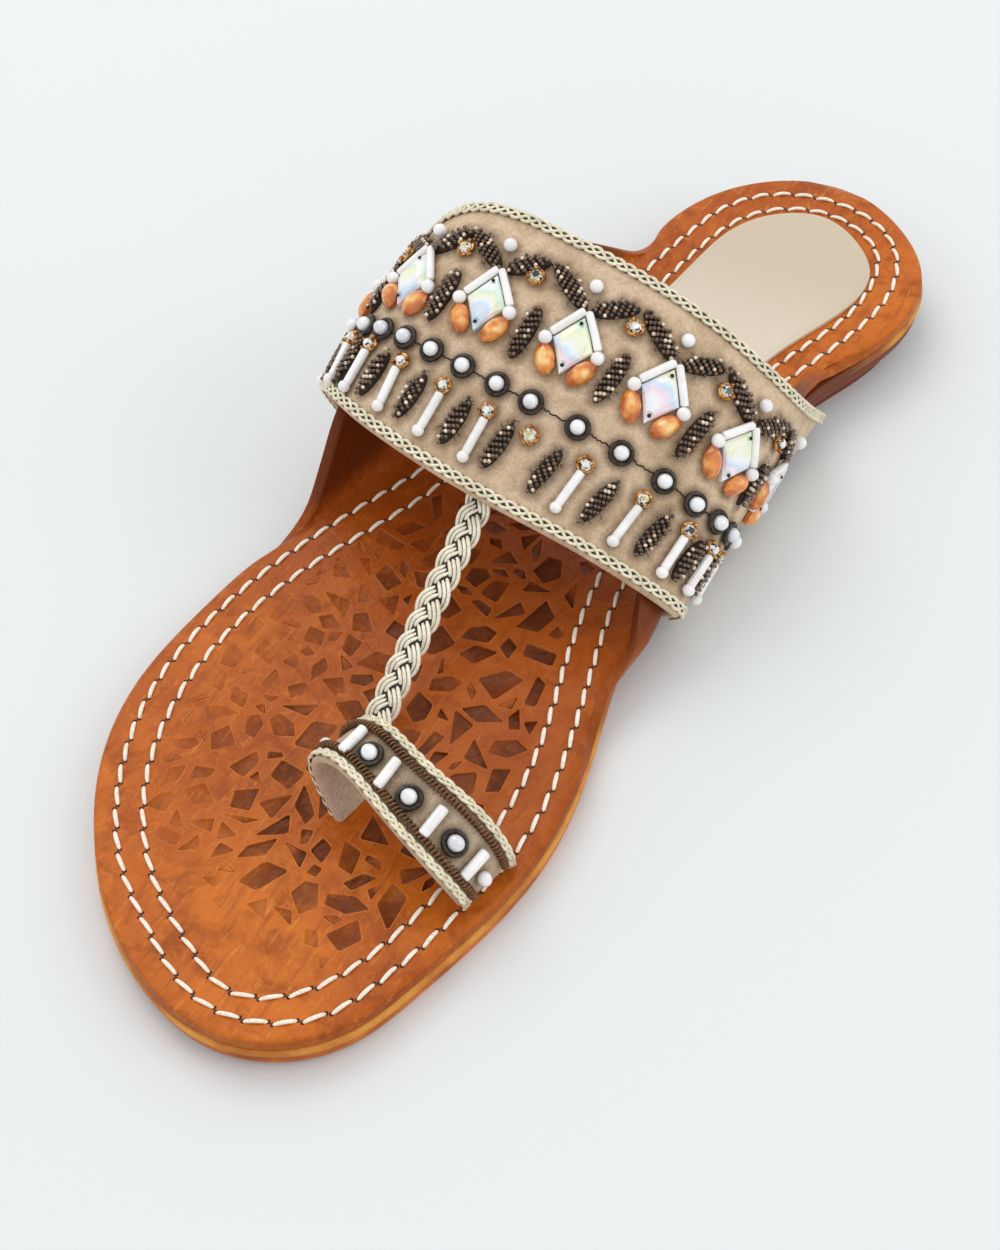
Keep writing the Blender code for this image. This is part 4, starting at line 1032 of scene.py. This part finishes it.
def add_heel_pad():
    outline = sole_outline(PAD_MARGIN, 240)
    high = outline[:, 1].max() - 0.05
    quarter = np.linspace(0.0, math.pi / 2, 50)[1:]
    upper, lower = [], []
    for y in np.concatenate([np.linspace(PAD_FRONT, 90.0, 40), 90.0 + (high - 90.0) * np.sin(quarter)]):
        lateral, medial = (edge + PAD_SHIFT for edge in span(outline, y))
        x = (lateral + medial) / 2 + (medial - lateral) / 2 * np.sin(np.linspace(-1, 1, 41) * math.pi / 2)
        edge = np.minimum(np.minimum(x - lateral, medial - x), high - y)
        crown = 0.45 * ramp(np.clip(edge, 0.0, 1.6) / 1.6) + 0.12 * ramp(edge / 14.0)
        z = seat_height(y) + GAP + PAD_WALL - 0.5 + crown
        upper.append(np.stack([x, np.full_like(x, y), z], axis=1))
        lower.append(np.stack([x, np.full_like(x, y), np.full_like(x, seat_height(y) + 0.02)], axis=1))
    paint = Paint("pad_lining_leather", Roughness=0.42, Specular_IOR_Level=0.4, Sheen_Weight=0.15,
                  Coat_Weight=0.12, Coat_Roughness=0.3)
    fine = paint.noise(0.7, 3.0, 0.6)
    # Painted reflection of the satin's sheen: lighter at the pad's front, darker toward the heel.
    colour = paint.over(srgb(234, 221, 201), paint.axes()[1], 0.05, 0.1, 1.0, (208, 190, 165))
    colour = paint.over(colour, fine, 0.5, 0.8, 0.15, (186, 166, 142))
    paint.finish(colour, None, paint.bump(fine, 0.03, paint.bump(paint.noise(22.0, 2.0), 0.15)))
    vertices, faces = shell(np.array(upper), np.array(lower))
    add_piece("heel_pad_lining", vertices, faces, [paint.material], ("heel_pad",), sharp=55)


# ---------------------------------------------------------------- strap and toe ring as faces to sew on

def strap_points(girth, share):
    """Outer face of the vamp strap: girth 0 at the medial hem to 1, share 0 at the front edge to 1."""
    girth, share = (np.ravel(v) for v in np.broadcast_arrays(np.asarray(girth, float), share))
    across = spline(FORM_GIRTH, np.eye(len(FORM_GIRTH)), girth)
    y = across @ np.array(STRAP_FRONT) * (1.0 - share) + across @ np.array(STRAP_BACK) * share
    along = spline([row[0] for row in FORM_ROWS], np.eye(len(FORM_ROWS)), y)
    rows = np.array([row[1:] for row in FORM_ROWS], float)
    xz = np.einsum("nj,jik,ni->nk", along, rows, across)
    return np.stack([xz[:, 0], y, xz[:, 1]], axis=1)


def ring_points(girth, share):
    """Outer face of the toe ring, with the same sense as the strap's."""
    girth, share = (np.ravel(v) for v in np.broadcast_arrays(np.asarray(girth, float), share))
    edges = spline(RING_GIRTH, np.array(RING_ROWS), girth)
    return edges[:, 1] * (1.0 - share)[:, None] + edges[:, 0] * share[:, None]


class Face:
    """A curved band with places given as (girth, share) and steps from them in millimetres."""

    def __init__(self, points):
        self.points = points
        self.feet = []          # where the beads sewn to it meet it

    def slopes(self, girth, share):
        """Change of place with girth and with share."""
        step = 1e-3
        by_girth = (self.points(girth + step, share) - self.points(girth - step, share)) / (2 * step)
        by_share = (self.points(girth, share + step) - self.points(girth, share - step)) / (2 * step)
        return by_girth, by_share

    def lifted(self, girth, share, lift=0.0):
        by_girth, by_share = self.slopes(girth, share)
        normal = unit(np.cross(by_share, by_girth))
        lift = np.ravel(np.broadcast_to(lift, (len(normal),)))
        return self.points(girth, share) + normal * lift[:, None]

    def spot(self, girth, share, dx, dy, lift=0.0):
        """dx runs to the medial hem and dy to the back edge, square to each other."""
        (g,), (s,) = self.slopes(np.array([girth]), np.array([share]))
        dx, dy = np.asarray(dx, float), np.asarray(dy, float)
        long = np.linalg.norm(s)
        along = s / long
        lean = g @ along
        wide = math.sqrt(max(g @ g - lean * lean, 1e-9))
        d_girth = -dx / wide
        return self.lifted(girth + d_girth, share + (dy - d_girth * lean) / long, lift)

    def inset(self, girth, distance, near_back):
        """The share that lies distance millimetres in from an edge."""
        edge = 1.0 if near_back else 0.0
        _, by_share = self.slopes(girth, np.full_like(girth, edge))
        reach = distance / np.linalg.norm(by_share, axis=1)
        return 1.0 - reach if near_back else reach

    def course(self, girths, distance, near_back, lift):
        """Line of points beside an edge, with the ways across it and up from the face."""
        shares = self.inset(girths, distance, near_back)
        line = self.lifted(girths, shares, lift)
        up = unit(self.lifted(girths, shares, lift + 1.0) - line)
        return line, unit(np.cross(unit(np.gradient(line, axis=0)), up)), up


STRAP, RING = Face(strap_points), Face(ring_points)


def band_shell(face, girths, count, wall, round_off):
    """Outer and inner points of a wall over a whole face, its two long edges rounded."""
    near = np.array([0.0, 0.04, 0.14, 0.32, 0.6, 1.0]) * round_off
    low = np.array([face.inset(girths, d, False) for d in near]).T
    high = np.array([face.inset(girths, d, True) for d in near[::-1]]).T
    middle = low[:, -1:] + (high[:, :1] - low[:, -1:]) * np.linspace(0.0, 1.0, count)[None, 1:-1]
    shares = np.concatenate([low, middle, high], axis=1)
    turn = 1.0 - near / round_off
    drop = wall / 2 * (1.0 - np.sqrt(1.0 - turn ** 2 * 0.98))
    drops = np.tile(np.concatenate([drop, np.zeros(count - 2), drop[::-1]]), len(girths))
    flat = np.repeat(girths, shares.shape[1]), shares.ravel()
    return [face.lifted(*flat, lift).reshape(*shares.shape, 3)[:, ::-1] for lift in (-drops, -wall + drops)]


def add_band(name, node, face, steps, count, wall, round_off, pile):
    """A velvet band with its lining, the pile shaded close to the feet of the beads sewn to it."""
    outer, inner = band_shell(face, np.linspace(0.0, 1.0, steps), count, wall, round_off)
    vertices, faces = shell(outer, inner)
    quads = (outer.shape[0] - 1) * (outer.shape[1] - 1)
    kinds = [0] * quads + [1] * quads + [0] * (len(faces) - 2 * quads)
    feet = np.concatenate(face.feet)
    tree = kdtree.KDTree(len(feet))
    for k, point in enumerate(feet):
        tree.insert(point, k)
    tree.balance()
    near = np.array([tree.find(point)[2] for point in outer.reshape(-1, 3)])
    marks = np.zeros((len(vertices), 4))
    marks[:, 3] = 1.0
    marks[:len(near), 0] = 1.0 - ramp((near - 0.3) / 1.7)
    add_piece(name, vertices, faces, [pile, LINING], (node,), kinds=kinds, marks=marks, sharp=60)


def plait(heap, line, side, up, width, height, period, yarns):
    """Three-strand plait along a line; yarns are the (offset across, radius) of each in a strand."""
    run = run_of(line)
    for k in range(3):
        turn = 2 * math.pi * (run / period + k / 3)
        across, rise = np.sin(turn) * (width / 2 - yarns[0][1]), np.sin(2 * turn) * height / 2
        centre = line + side * across[:, None] + up * rise[:, None]
        beside = unit(np.cross(unit(np.gradient(centre, axis=0)), up))
        for offset, radius in yarns:
            heap.add(tube(centre + beside * offset, up, radius, 6))


def add_trim(name, node, face, near_back, margin, distance, width):
    """Flat plait of three gold cords sewn along an edge, dark between its strands."""
    girths = np.linspace(margin, 1.0 - margin, 3000)
    run = run_of(face.lifted(girths, face.inset(girths, distance, near_back), 0.5))
    girths = np.interp(np.linspace(0.0, run[-1], int(run[-1] / 0.4)), run, girths)
    line, side, up = face.course(girths, distance, near_back, 0.5)
    heap = Heap()
    plait(heap, line, side, up, width, 0.3, TRIM_PERIOD, ((0.0, TRIM_CORD),))
    heap.add(tube(line - up * 0.2, up, width * 0.42, 8, 0.36), 1)
    heap.finish(name, "gold_thread", [GOLD_CORD, DARK_CORD], (node,), sharp=80)


def add_trims():
    add_trim("vamp_cord_front", "vamp_trim_front", STRAP, False, *VAMP_TRIM)
    add_trim("vamp_cord_back", "vamp_trim_back", STRAP, True, *VAMP_TRIM)
    add_trim("ring_cord_rear", "ring_trim_rear", RING, True, *RING_TRIM)
    add_trim("ring_cord_front", "ring_trim_front", RING, False, *RING_TRIM)


def add_braid():
    path = np.array(BRAID_PATH)
    run = run_of(path)
    line = spline(run, path, np.linspace(0.0, run[-1], 150))
    ahead = unit(np.gradient(line, axis=0))
    side = unit(np.cross(ahead, (0.0, 0.0, 1.0)))
    up = np.cross(side, ahead)
    heap = Heap()
    plait(heap, line, side, up, BRAID_WIDTH - 0.8, 1.5, BRAID_PERIOD, BRAID_YARNS)
    heap.add(tube(line, up, 1.7, 8, 0.3), 1)
    heap.finish("toe_link_plait", "gold_thread", [BRAID_CORD, DARK_THREAD], ("braid_link",), sharp=80)


# ---------------------------------------------------------------- beads, as (dx, dy, height) shapes

def ball(centre, radius, squash=1.0, rings=8, sides=12):
    polar = np.linspace(0.0, math.pi, rings + 1)[1:-1]
    turns = np.arange(sides) * 2 * math.pi / sides
    grid = np.stack([np.outer(np.sin(polar), np.cos(turns)), np.outer(np.sin(polar), np.sin(turns)),
                     squash * np.outer(np.cos(polar), np.ones(sides))], axis=2)
    vertices = np.concatenate([grid.reshape(-1, 3), [(0, 0, squash), (0, 0, -squash)]]) * radius
    faces = []
    top, bottom, last = sides * (rings - 1), sides * (rings - 1) + 1, sides * (rings - 2)
    for j in range(sides):
        k = (j + 1) % sides
        faces.append((top, j, k))
        faces.append((bottom, last + k, last + j))
        for i in range(rings - 2):
            a, b = i * sides, (i + 1) * sides
            faces.append((a + j, b + j, b + k, a + k))
    return vertices + np.asarray(centre, float), faces


def round_bead(radius, height, sides=16):
    return ball((0.0, 0.0, height), radius, 1.0, 10, sides)


def joined(shapes):
    vertices, faces, count = [], [], 0
    for points, polygons in shapes:
        vertices.append(points)
        faces.extend(tuple(i + count for i in face) for face in polygons)
        count += len(points)
    return np.concatenate(vertices), faces


def turned(shape, degrees, dx=0.0, dy=0.0):
    """Turn a shape clockwise (from back to medial) and move it."""
    vertices, faces = shape
    c, s = math.cos(math.radians(degrees)), math.sin(math.radians(degrees))
    x, y = vertices[:, 0] * c + vertices[:, 1] * s, vertices[:, 1] * c - vertices[:, 0] * s
    return np.stack([x + dx, y + dy, vertices[:, 2]], axis=1), faces


def gem(outline, levels):
    """Faceted stone: levels are (scale, height) from its back to its table, each half a side round."""
    outline = np.asarray(outline, float)
    count = len(outline)
    between = (outline + np.roll(outline, -1, axis=0)) / 2
    vertices, faces = [], [tuple(range(count))[::-1]]
    for k, (scale, height) in enumerate(levels):
        ring = (outline if k < 2 or k % 2 else between) * scale
        vertices.append(np.column_stack([ring, np.full(count, height)]))
    for j in range(count):
        i = (j + 1) % count
        faces.append((j, i, count + i, count + j))
        for k in range(1, len(levels) - 1):
            a, b = k * count, (k + 1) * count
            if k % 2:
                faces.append((a + j, a + i, b + j))
                faces.append((a + i, b + i, b + j))
            else:
                faces.append((a + j, a + i, b + i))
                faces.append((a + j, b + i, b + j))
    faces.append(tuple(range((len(levels) - 1) * count, len(levels) * count)))
    return np.concatenate(vertices), faces


def bar(start, end, radius, height):
    """Bugle bead: a tube with softly closed ends."""
    start, end = np.append(start, height), np.append(end, height)
    t = np.array([0.0, 0.012, 0.05, 0.35, 0.65, 0.95, 0.988, 1.0])[:, None]
    swell = np.array([0.55, 0.86, 1.0, 1.0, 1.0, 1.0, 0.86, 0.55]) * radius
    return tube(start + (end - start) * t, (0.0, 0.0, 1.0), swell, 12)


def hoop(radius, wire, height):
    turn = np.arange(24) * 2 * math.pi / 24
    path = np.stack([radius * np.cos(turn), radius * np.sin(turn), np.full(24, height)], axis=1)
    return tube(path, (0.0, 0.0, 1.0), wire, 7, closed=True)


def oval(length, width, count):
    turn = np.arange(count) * 2 * math.pi / count
    return np.stack([width / 2 * np.cos(turn), length / 2 * np.sin(turn)], axis=1)


def leaf_half(width, share):
    """Half the width of a leaf at a share of the way from its middle to its end."""
    return width / 2 * max(0.0, 1.0 - abs(share) ** 2.2)


def leaf_rows(length, width, slant, rng):
    """Seed beads of one leaf in slanted rows over a padded middle, then its padding; about one bead in six is
    kept apart for the pale paint of a painted highlight.
    """
    beads, glints = [], []
    lean = math.tan(math.radians(slant))
    for k in range(-12, 13):
        for j in range(-7, 8):
            x = j * SEED_PITCH + rng.uniform(-0.03, 0.03)
            y = k * SEED_ROW + x * lean + rng.uniform(-0.03, 0.03)
            half = leaf_half(width, 2 * y / length)
            if abs(x) > half - 0.15:
                continue
            dome = math.sqrt(max(0.0, 1.0 - (x / (half + 0.4)) ** 2))
            bead = ball((x, y, 0.3 + 0.95 * dome), SEED_RADIUS * rng.uniform(0.94, 1.05), 1.0, 5, 8)
            # About one bead in six goes to the glints, a painted highlight.
            (glints if rng.random() < 0.16 else beads).append(bead)
    return beads, glints, gem(oval(length - 0.8, width - 0.8, 16), PAD_LEVELS)


def fuzz(length, width, rng):
    """Ends of dark sewing thread that stray from under a leaf."""
    hairs = []
    t = np.linspace(0.0, 1.0, 5)
    for _ in range(6):
        side, end = rng.choice((-1, 1)), rng.choice((-1, 1))
        y = end * length * rng.uniform(0.1, 0.52)
        x = side * leaf_half(width, 2 * y / length)
        way, reach = rng.uniform(-0.9, 0.9), rng.uniform(0.4, 0.9)
        bend = rng.uniform(-0.6, 0.6)
        path = np.stack([x + side * reach * t * math.cos(way),
                         y + end * reach * (t * abs(math.sin(way)) + bend * t * t),
                         0.15 + 0.25 * np.sin(math.pi * t)], axis=1)
        hairs.append(tube(path, (0.0, 0.0, 1.0), 0.07, 4))
    return joined(hairs)


def sew(heap, face, girth, share, shape, kind=0, mark=None):
    vertices, faces = shape
    place = face.spot(girth, share, vertices[:, 0], vertices[:, 1], BEAD_LIFT + vertices[:, 2])
    face.feet.append(place[vertices[:, 2] < 0.7])
    heap.add((place, faces), kind, mark)


def numbered(name, count, digits=1):
    """Names of count nodes in a row, as in the solids."""
    return [f"{name}_{k + 1:0{digits}d}" for k in range(count)]


def add_crystals():
    rng = random.Random(5)
    heap = Heap()
    for k in range(MOTIFS):
        girth = MOTIF_GIRTH + (k - 3) * MOTIF_PITCH

        def put(shape, kind=0, mark=None):
            sew(heap, STRAP, girth, MOTIF_SHARE, shape, kind, mark)

        stone = gem(RHOMBUS, STONE_LEVELS)
        tint = (stone[0][:, 1] + 6.0) / 12.2 + rng.uniform(-0.1, 0.1)
        put(stone, 0, np.clip(tint + [rng.uniform(-0.16, 0.16) for _ in tint], 0.01, 1.0))
        # Dark discs near the stone's points: painted shade where its holes are.
        for y in (4.5, -4.4):
            put(ball((0.0, y, 1.75), 0.42, 0.5, 6, 10), 1)
        for side in (-1, 1):
            put(bar((side * 0.4, 7.5), (side * 5.0, 0.9), 0.84, 0.95), 2)
            put(ball((side * 5.5, -0.5, 1.2), PEARL_RADIUS, 1.0, 10, 16), 3)
            drop = gem(oval(*DROP_SIZE, 10), DROP_LEVELS)
            glow = 1.0 - np.linalg.norm(drop[0][:, :2], axis=1) / 3.4
            put(turned(drop, side * DROP_TURN, side * DROP_PLACE[0], DROP_PLACE[1]), 4, glow)
    heap.finish("crystal_motifs", "crystal", CRYSTAL_PAINTS, numbered("crystal_motif", MOTIFS), sharp=16)


def rhinestone(heap, face, girth, share, rng, size=1.0, dy=0.0):
    """Foiled stone in a gold claw with four prongs; its facets are painted bright, dark or pale at random as
    painted reflections.
    """
    parts = [(turned(hoop(RHINESTONE_RADIUS * size, 0.36 * size, 0.55), 0, 0.0, dy), 0)]
    turn = rng.uniform(0, 90)
    for k in range(4):
        a, reach = math.radians(turn + 90 * k), 1.75 * size
        prong = ball((0, 0, 1.15), 0.5 * size, 1.3, 6, 8)
        parts.append((turned(prong, 0, reach * math.cos(a), dy + reach * math.sin(a)), 0))
    stone = gem(oval(3.1 * size, 3.1 * size, 8), RHINESTONE_LEVELS)
    facet_reflections = [rng.choice((1, 1, 2, 3)) for _ in stone[1]]
    facet_reflections[-1] = rng.choice((1, 2, 3))
    parts.append((turned(stone, 0, 0.0, dy), facet_reflections))
    for shape, kind in parts:
        sew(heap, face, girth, share, shape, kind)


def add_matchsticks():
    rng = random.Random(8)
    heap = Heap()
    for girth in MATCHSTICK_GIRTHS:
        tilt = rng.uniform(-4.0, 4.0)
        stick, tip = bar((0.0, -4.6), (0.0, 3.4), 0.92, 0.8), ball((0.0, -5.3, 1.0), 1.25, 1.0, 10, 16)
        sew(heap, STRAP, girth, MATCHSTICK_SHARE, turned(stick, tilt), 4)
        sew(heap, STRAP, girth, MATCHSTICK_SHARE, turned(tip, tilt), 5)
        rhinestone(heap, STRAP, girth, MATCHSTICK_SHARE, rng, 0.86, 4.9)
    heap.finish("matchstick_beads", "white_bead", (*STONE_PAINTS, BUGLE, PEARL),
                numbered("matchstick", len(MATCHSTICK_GIRTHS), 2), sharp=22)


def add_loose_stones():
    """Stones under the zigzag's peaks, small pearls over its valleys and one stone among the matchsticks."""
    rng = random.Random(21)
    heap = Heap()
    rhinestone(heap, STRAP, *LONE_STONE, rng, 0.95)
    for girth in LOOSE_STONE_GIRTHS:
        rhinestone(heap, STRAP, girth, LOOSE_STONE_SHARE, rng, 0.9)
    for k in range(-3, 5):
        sew(heap, STRAP, MOTIF_GIRTH + k * MOTIF_PITCH, LOOSE_PEARL_SHARE, round_bead(PEARL_RADIUS, 1.15), 4)
    heap.finish("upper_row_stones", "white_bead", (*STONE_PAINTS, PEARL), sharp=22)


def ringed_ball(heap, face, girth, share):
    sew(heap, face, girth, share, hoop(2.1, 0.52, 0.5))
    sew(heap, face, girth, share, round_bead(1.52, 1.1, 18), 1)


def add_chain():
    heap = Heap()
    for girth in CHAIN_GIRTHS:
        ringed_ball(heap, STRAP, girth, CHAIN_SHARE)
    rng = random.Random(3)
    for start, end in zip(CHAIN_GIRTHS, CHAIN_GIRTHS[1:]):
        girths = np.linspace(start + 0.012, end - 0.012, 14)
        sway = np.array([rng.uniform(-0.2, 0.2) for _ in girths]) / 50.0
        path = STRAP.lifted(girths, CHAIN_SHARE + sway, 0.5)
        heap.add(tube(path, STRAP.lifted(girths, CHAIN_SHARE, 1.0) - path, 0.18, 6), 2)
    heap.finish("pearl_chain_beads", "white_bead", (WIRE, SILVER_PEARL, DARK_THREAD), ("pearl_chain",),
                sharp=50)


def zigzag_leaves():
    """The zigzag's leaves, each from a valley to a peak or back: (girth, share, length, width, turn)."""
    leaves = []
    for k in range(-6, 8):
        start, end = MOTIF_GIRTH + k * MOTIF_PITCH / 2, MOTIF_GIRTH + (k + 1) * MOTIF_PITCH / 2
        first, last = (ZIGZAG_VALLEY, ZIGZAG_PEAK) if k % 2 == 0 else (ZIGZAG_PEAK, ZIGZAG_VALLEY)
        ends = strap_points(np.array([start, end]), np.array([first, last]))
        girth, share = (start + end) / 2, (first + last) / 2
        (g,), (s,) = STRAP.slopes(np.array([girth]), np.array([share]))
        way, along = ends[1] - ends[0], unit(s)
        across = -unit(g - (g @ along) * along)
        turn = math.degrees(math.atan2(way @ across, way @ along))
        length = min(ZIGZAG_LEAF[0], float(np.linalg.norm(way)) - 0.2)
        leaves.append((girth, share, length, ZIGZAG_LEAF[1], turn))
    return leaves


def add_leaves():
    """All leaves of seed beads, in three pieces: middle row, low row and the zigzag."""
    rng = random.Random(13)
    mid = [(MOTIF_GIRTH + (k - 2.5) * MOTIF_PITCH, MID_LEAF_SHARE, *MID_LEAF, LEAF_SLANT)
           for k in range(MOTIFS - 1)]
    low = [(girth, LOW_LEAF_SHARE, *LOW_LEAF, LEAF_SLANT) for girth in LOW_LEAF_GIRTHS + EXTRA_LOW_LEAVES]
    for name, leaves, nodes in (
            ("mid_leaf_beads", mid, numbered("mid_leaf", len(mid))),
            ("low_leaf_beads", low, numbered("low_leaf", len(LOW_LEAF_GIRTHS), 2)),
            ("zigzag_beads", zigzag_leaves(), ["bead_zigzag"])):
        heap = Heap()
        for girth, share, length, width, turn in leaves:
            beads, glints, pad = leaf_rows(length, width, rng.choice(SEED_SLANTS), rng)
            parts = [(pad, 2), (joined(beads), 0)] + ([(joined(glints), 1)] if glints else [])
            for shape, kind in (*parts, (fuzz(length, width, rng), 2)):
                sew(heap, STRAP, girth, share, turned(shape, turn), kind)
        heap.finish(name, "bronze_bead", (BRONZE, GLINT, DARK_THREAD), nodes, sharp=60)


def add_ring_beads():
    bars, balls = Heap(), Heap()
    for girth in RING_BAR_GIRTHS:
        sew(bars, RING, girth, RING_BEAD_SHARE, bar((0.0, -3.2), (0.0, 3.2), 1.05, 0.75))
    for girth in RING_PEARL_GIRTHS:
        sew(bars, RING, girth, RING_BEAD_SHARE, round_bead(1.35, 0.9), 1)
    for girth in RING_BALL_GIRTHS:
        ringed_ball(balls, RING, girth, RING_BEAD_SHARE)
    bars.finish("ring_bugles", "white_bead", (BUGLE, PEARL),
                numbered("ring_bar", len(RING_BAR_GIRTHS)), sharp=50)
    balls.finish("ring_balls", "white_bead", (WIRE, SILVER_PEARL),
                 numbered("ring_ball", len(RING_BALL_GIRTHS)), sharp=50)


def add_bullion():
    """Coiled bronze wire laid inside each of the ring's trims."""
    heap = Heap()
    for near_back in (False, True):
        line, side, up = RING.course(np.linspace(0.08, 0.92, 1300), BULLION_INSET, near_back, 0.75)
        turn = run_of(line) * 2 * math.pi / BULLION_PITCH
        coil = line + BULLION_COIL * (side * np.cos(turn)[:, None] + up * np.sin(turn)[:, None])
        heap.add(tube(coil, up, BULLION_WIRE, 5))
    heap.finish("ring_bullion", "bronze_bead", [BULLION], sharp=70)


def add_beads():
    add_crystals()
    add_matchsticks()
    add_loose_stones()
    add_chain()
    add_leaves()
    add_ring_beads()
    add_bullion()


# ---------------------------------------------------------------- camera, light and floor

def add_camera():
    """The photo's view: from the right of the toes and above, a little rolled, the shoe at mid frame."""
    ahead = CAMERA_AHEAD * math.cos(CAMERA_ASIDE) - CAMERA_RIGHT * math.sin(CAMERA_ASIDE)
    beside = CAMERA_RIGHT * math.cos(CAMERA_ASIDE) + CAMERA_AHEAD * math.sin(CAMERA_ASIDE)
    data = bpy.data.cameras.new("camera")
    data.sensor_fit, data.sensor_width = "HORIZONTAL", 36.0
    data.lens, data.shift_x = CAMERA_LENS, CAMERA_SHIFT
    data.clip_start, data.clip_end = 0.01, 20.0
    camera = bpy.data.objects.new("camera", data)
    axes = Matrix((beside.normalized(), CAMERA_UP.normalized(), -ahead.normalized())).transposed()
    camera.matrix_world = Matrix.Translation(CAMERA_PLACE) @ axes.to_4x4()
    SCENE.collection.objects.link(camera)
    SCENE.camera = camera


def add_light(name, place, size, power, colour):
    """Round softbox turned to the sandal."""
    data = bpy.data.lights.new(name, "AREA")
    data.shape, data.size, data.energy, data.color = "DISK", size, power, colour
    light = bpy.data.objects.new(name, data)
    light.location = place
    light.rotation_euler = (Vector((0.0, 0.0, 0.02)) - Vector(place)).to_track_quat("-Z", "Y").to_euler()
    SCENE.collection.objects.link(light)


def add_studio():
    """Pale seamless ground under a bright soft sky, with one softbox behind and one to the side."""
    mesh = bpy.data.meshes.new("floor")
    reach = 30.0
    mesh.from_pydata([(-reach, -reach, 0), (reach, -reach, 0), (reach, reach, 0), (-reach, reach, 0)],
                     [], [(0, 1, 2, 3)])
    floor = bpy.data.objects.new("floor", mesh)
    SCENE.collection.objects.link(floor)
    paint = Paint("floor_paper", Roughness=0.75, Specular_IOR_Level=0.1)
    tone = paint.noise(400.0, 2.0)
    mesh.materials.append(paint.finish(paint.mix(tone, (0.80, 0.82, 0.82), (0.82, 0.84, 0.84))))
    world = SCENE.world or bpy.data.worlds.new("world")
    SCENE.world = world
    world.use_nodes = True
    sky = world.node_tree.nodes["Background"]
    sky.inputs["Color"].default_value = (0.965, 0.985, 1.0, 1.0)
    sky.inputs["Strength"].default_value = 0.88
    add_light("key", (-0.7, 0.5, 1.3), 1.1, 5.0, (1.0, 0.98, 0.95))
    add_light("side", (1.1, 0.2, 0.8), 0.8, 2.0, (0.95, 0.98, 1.0))
    SCENE.view_settings.view_transform = "Standard"


add_sole()
add_heel_pad()
add_beads()
add_band("vamp_strap_velvet", "vamp_strap", STRAP, 230, 78, STRAP_WALL, 1.1, NAP)
add_band("toe_ring_velvet", "toe_ring", RING, 130, 26, RING_WALL, 0.8, RING_NAP)
add_trims()
add_braid()
add_stitches()
add_camera()
add_studio()
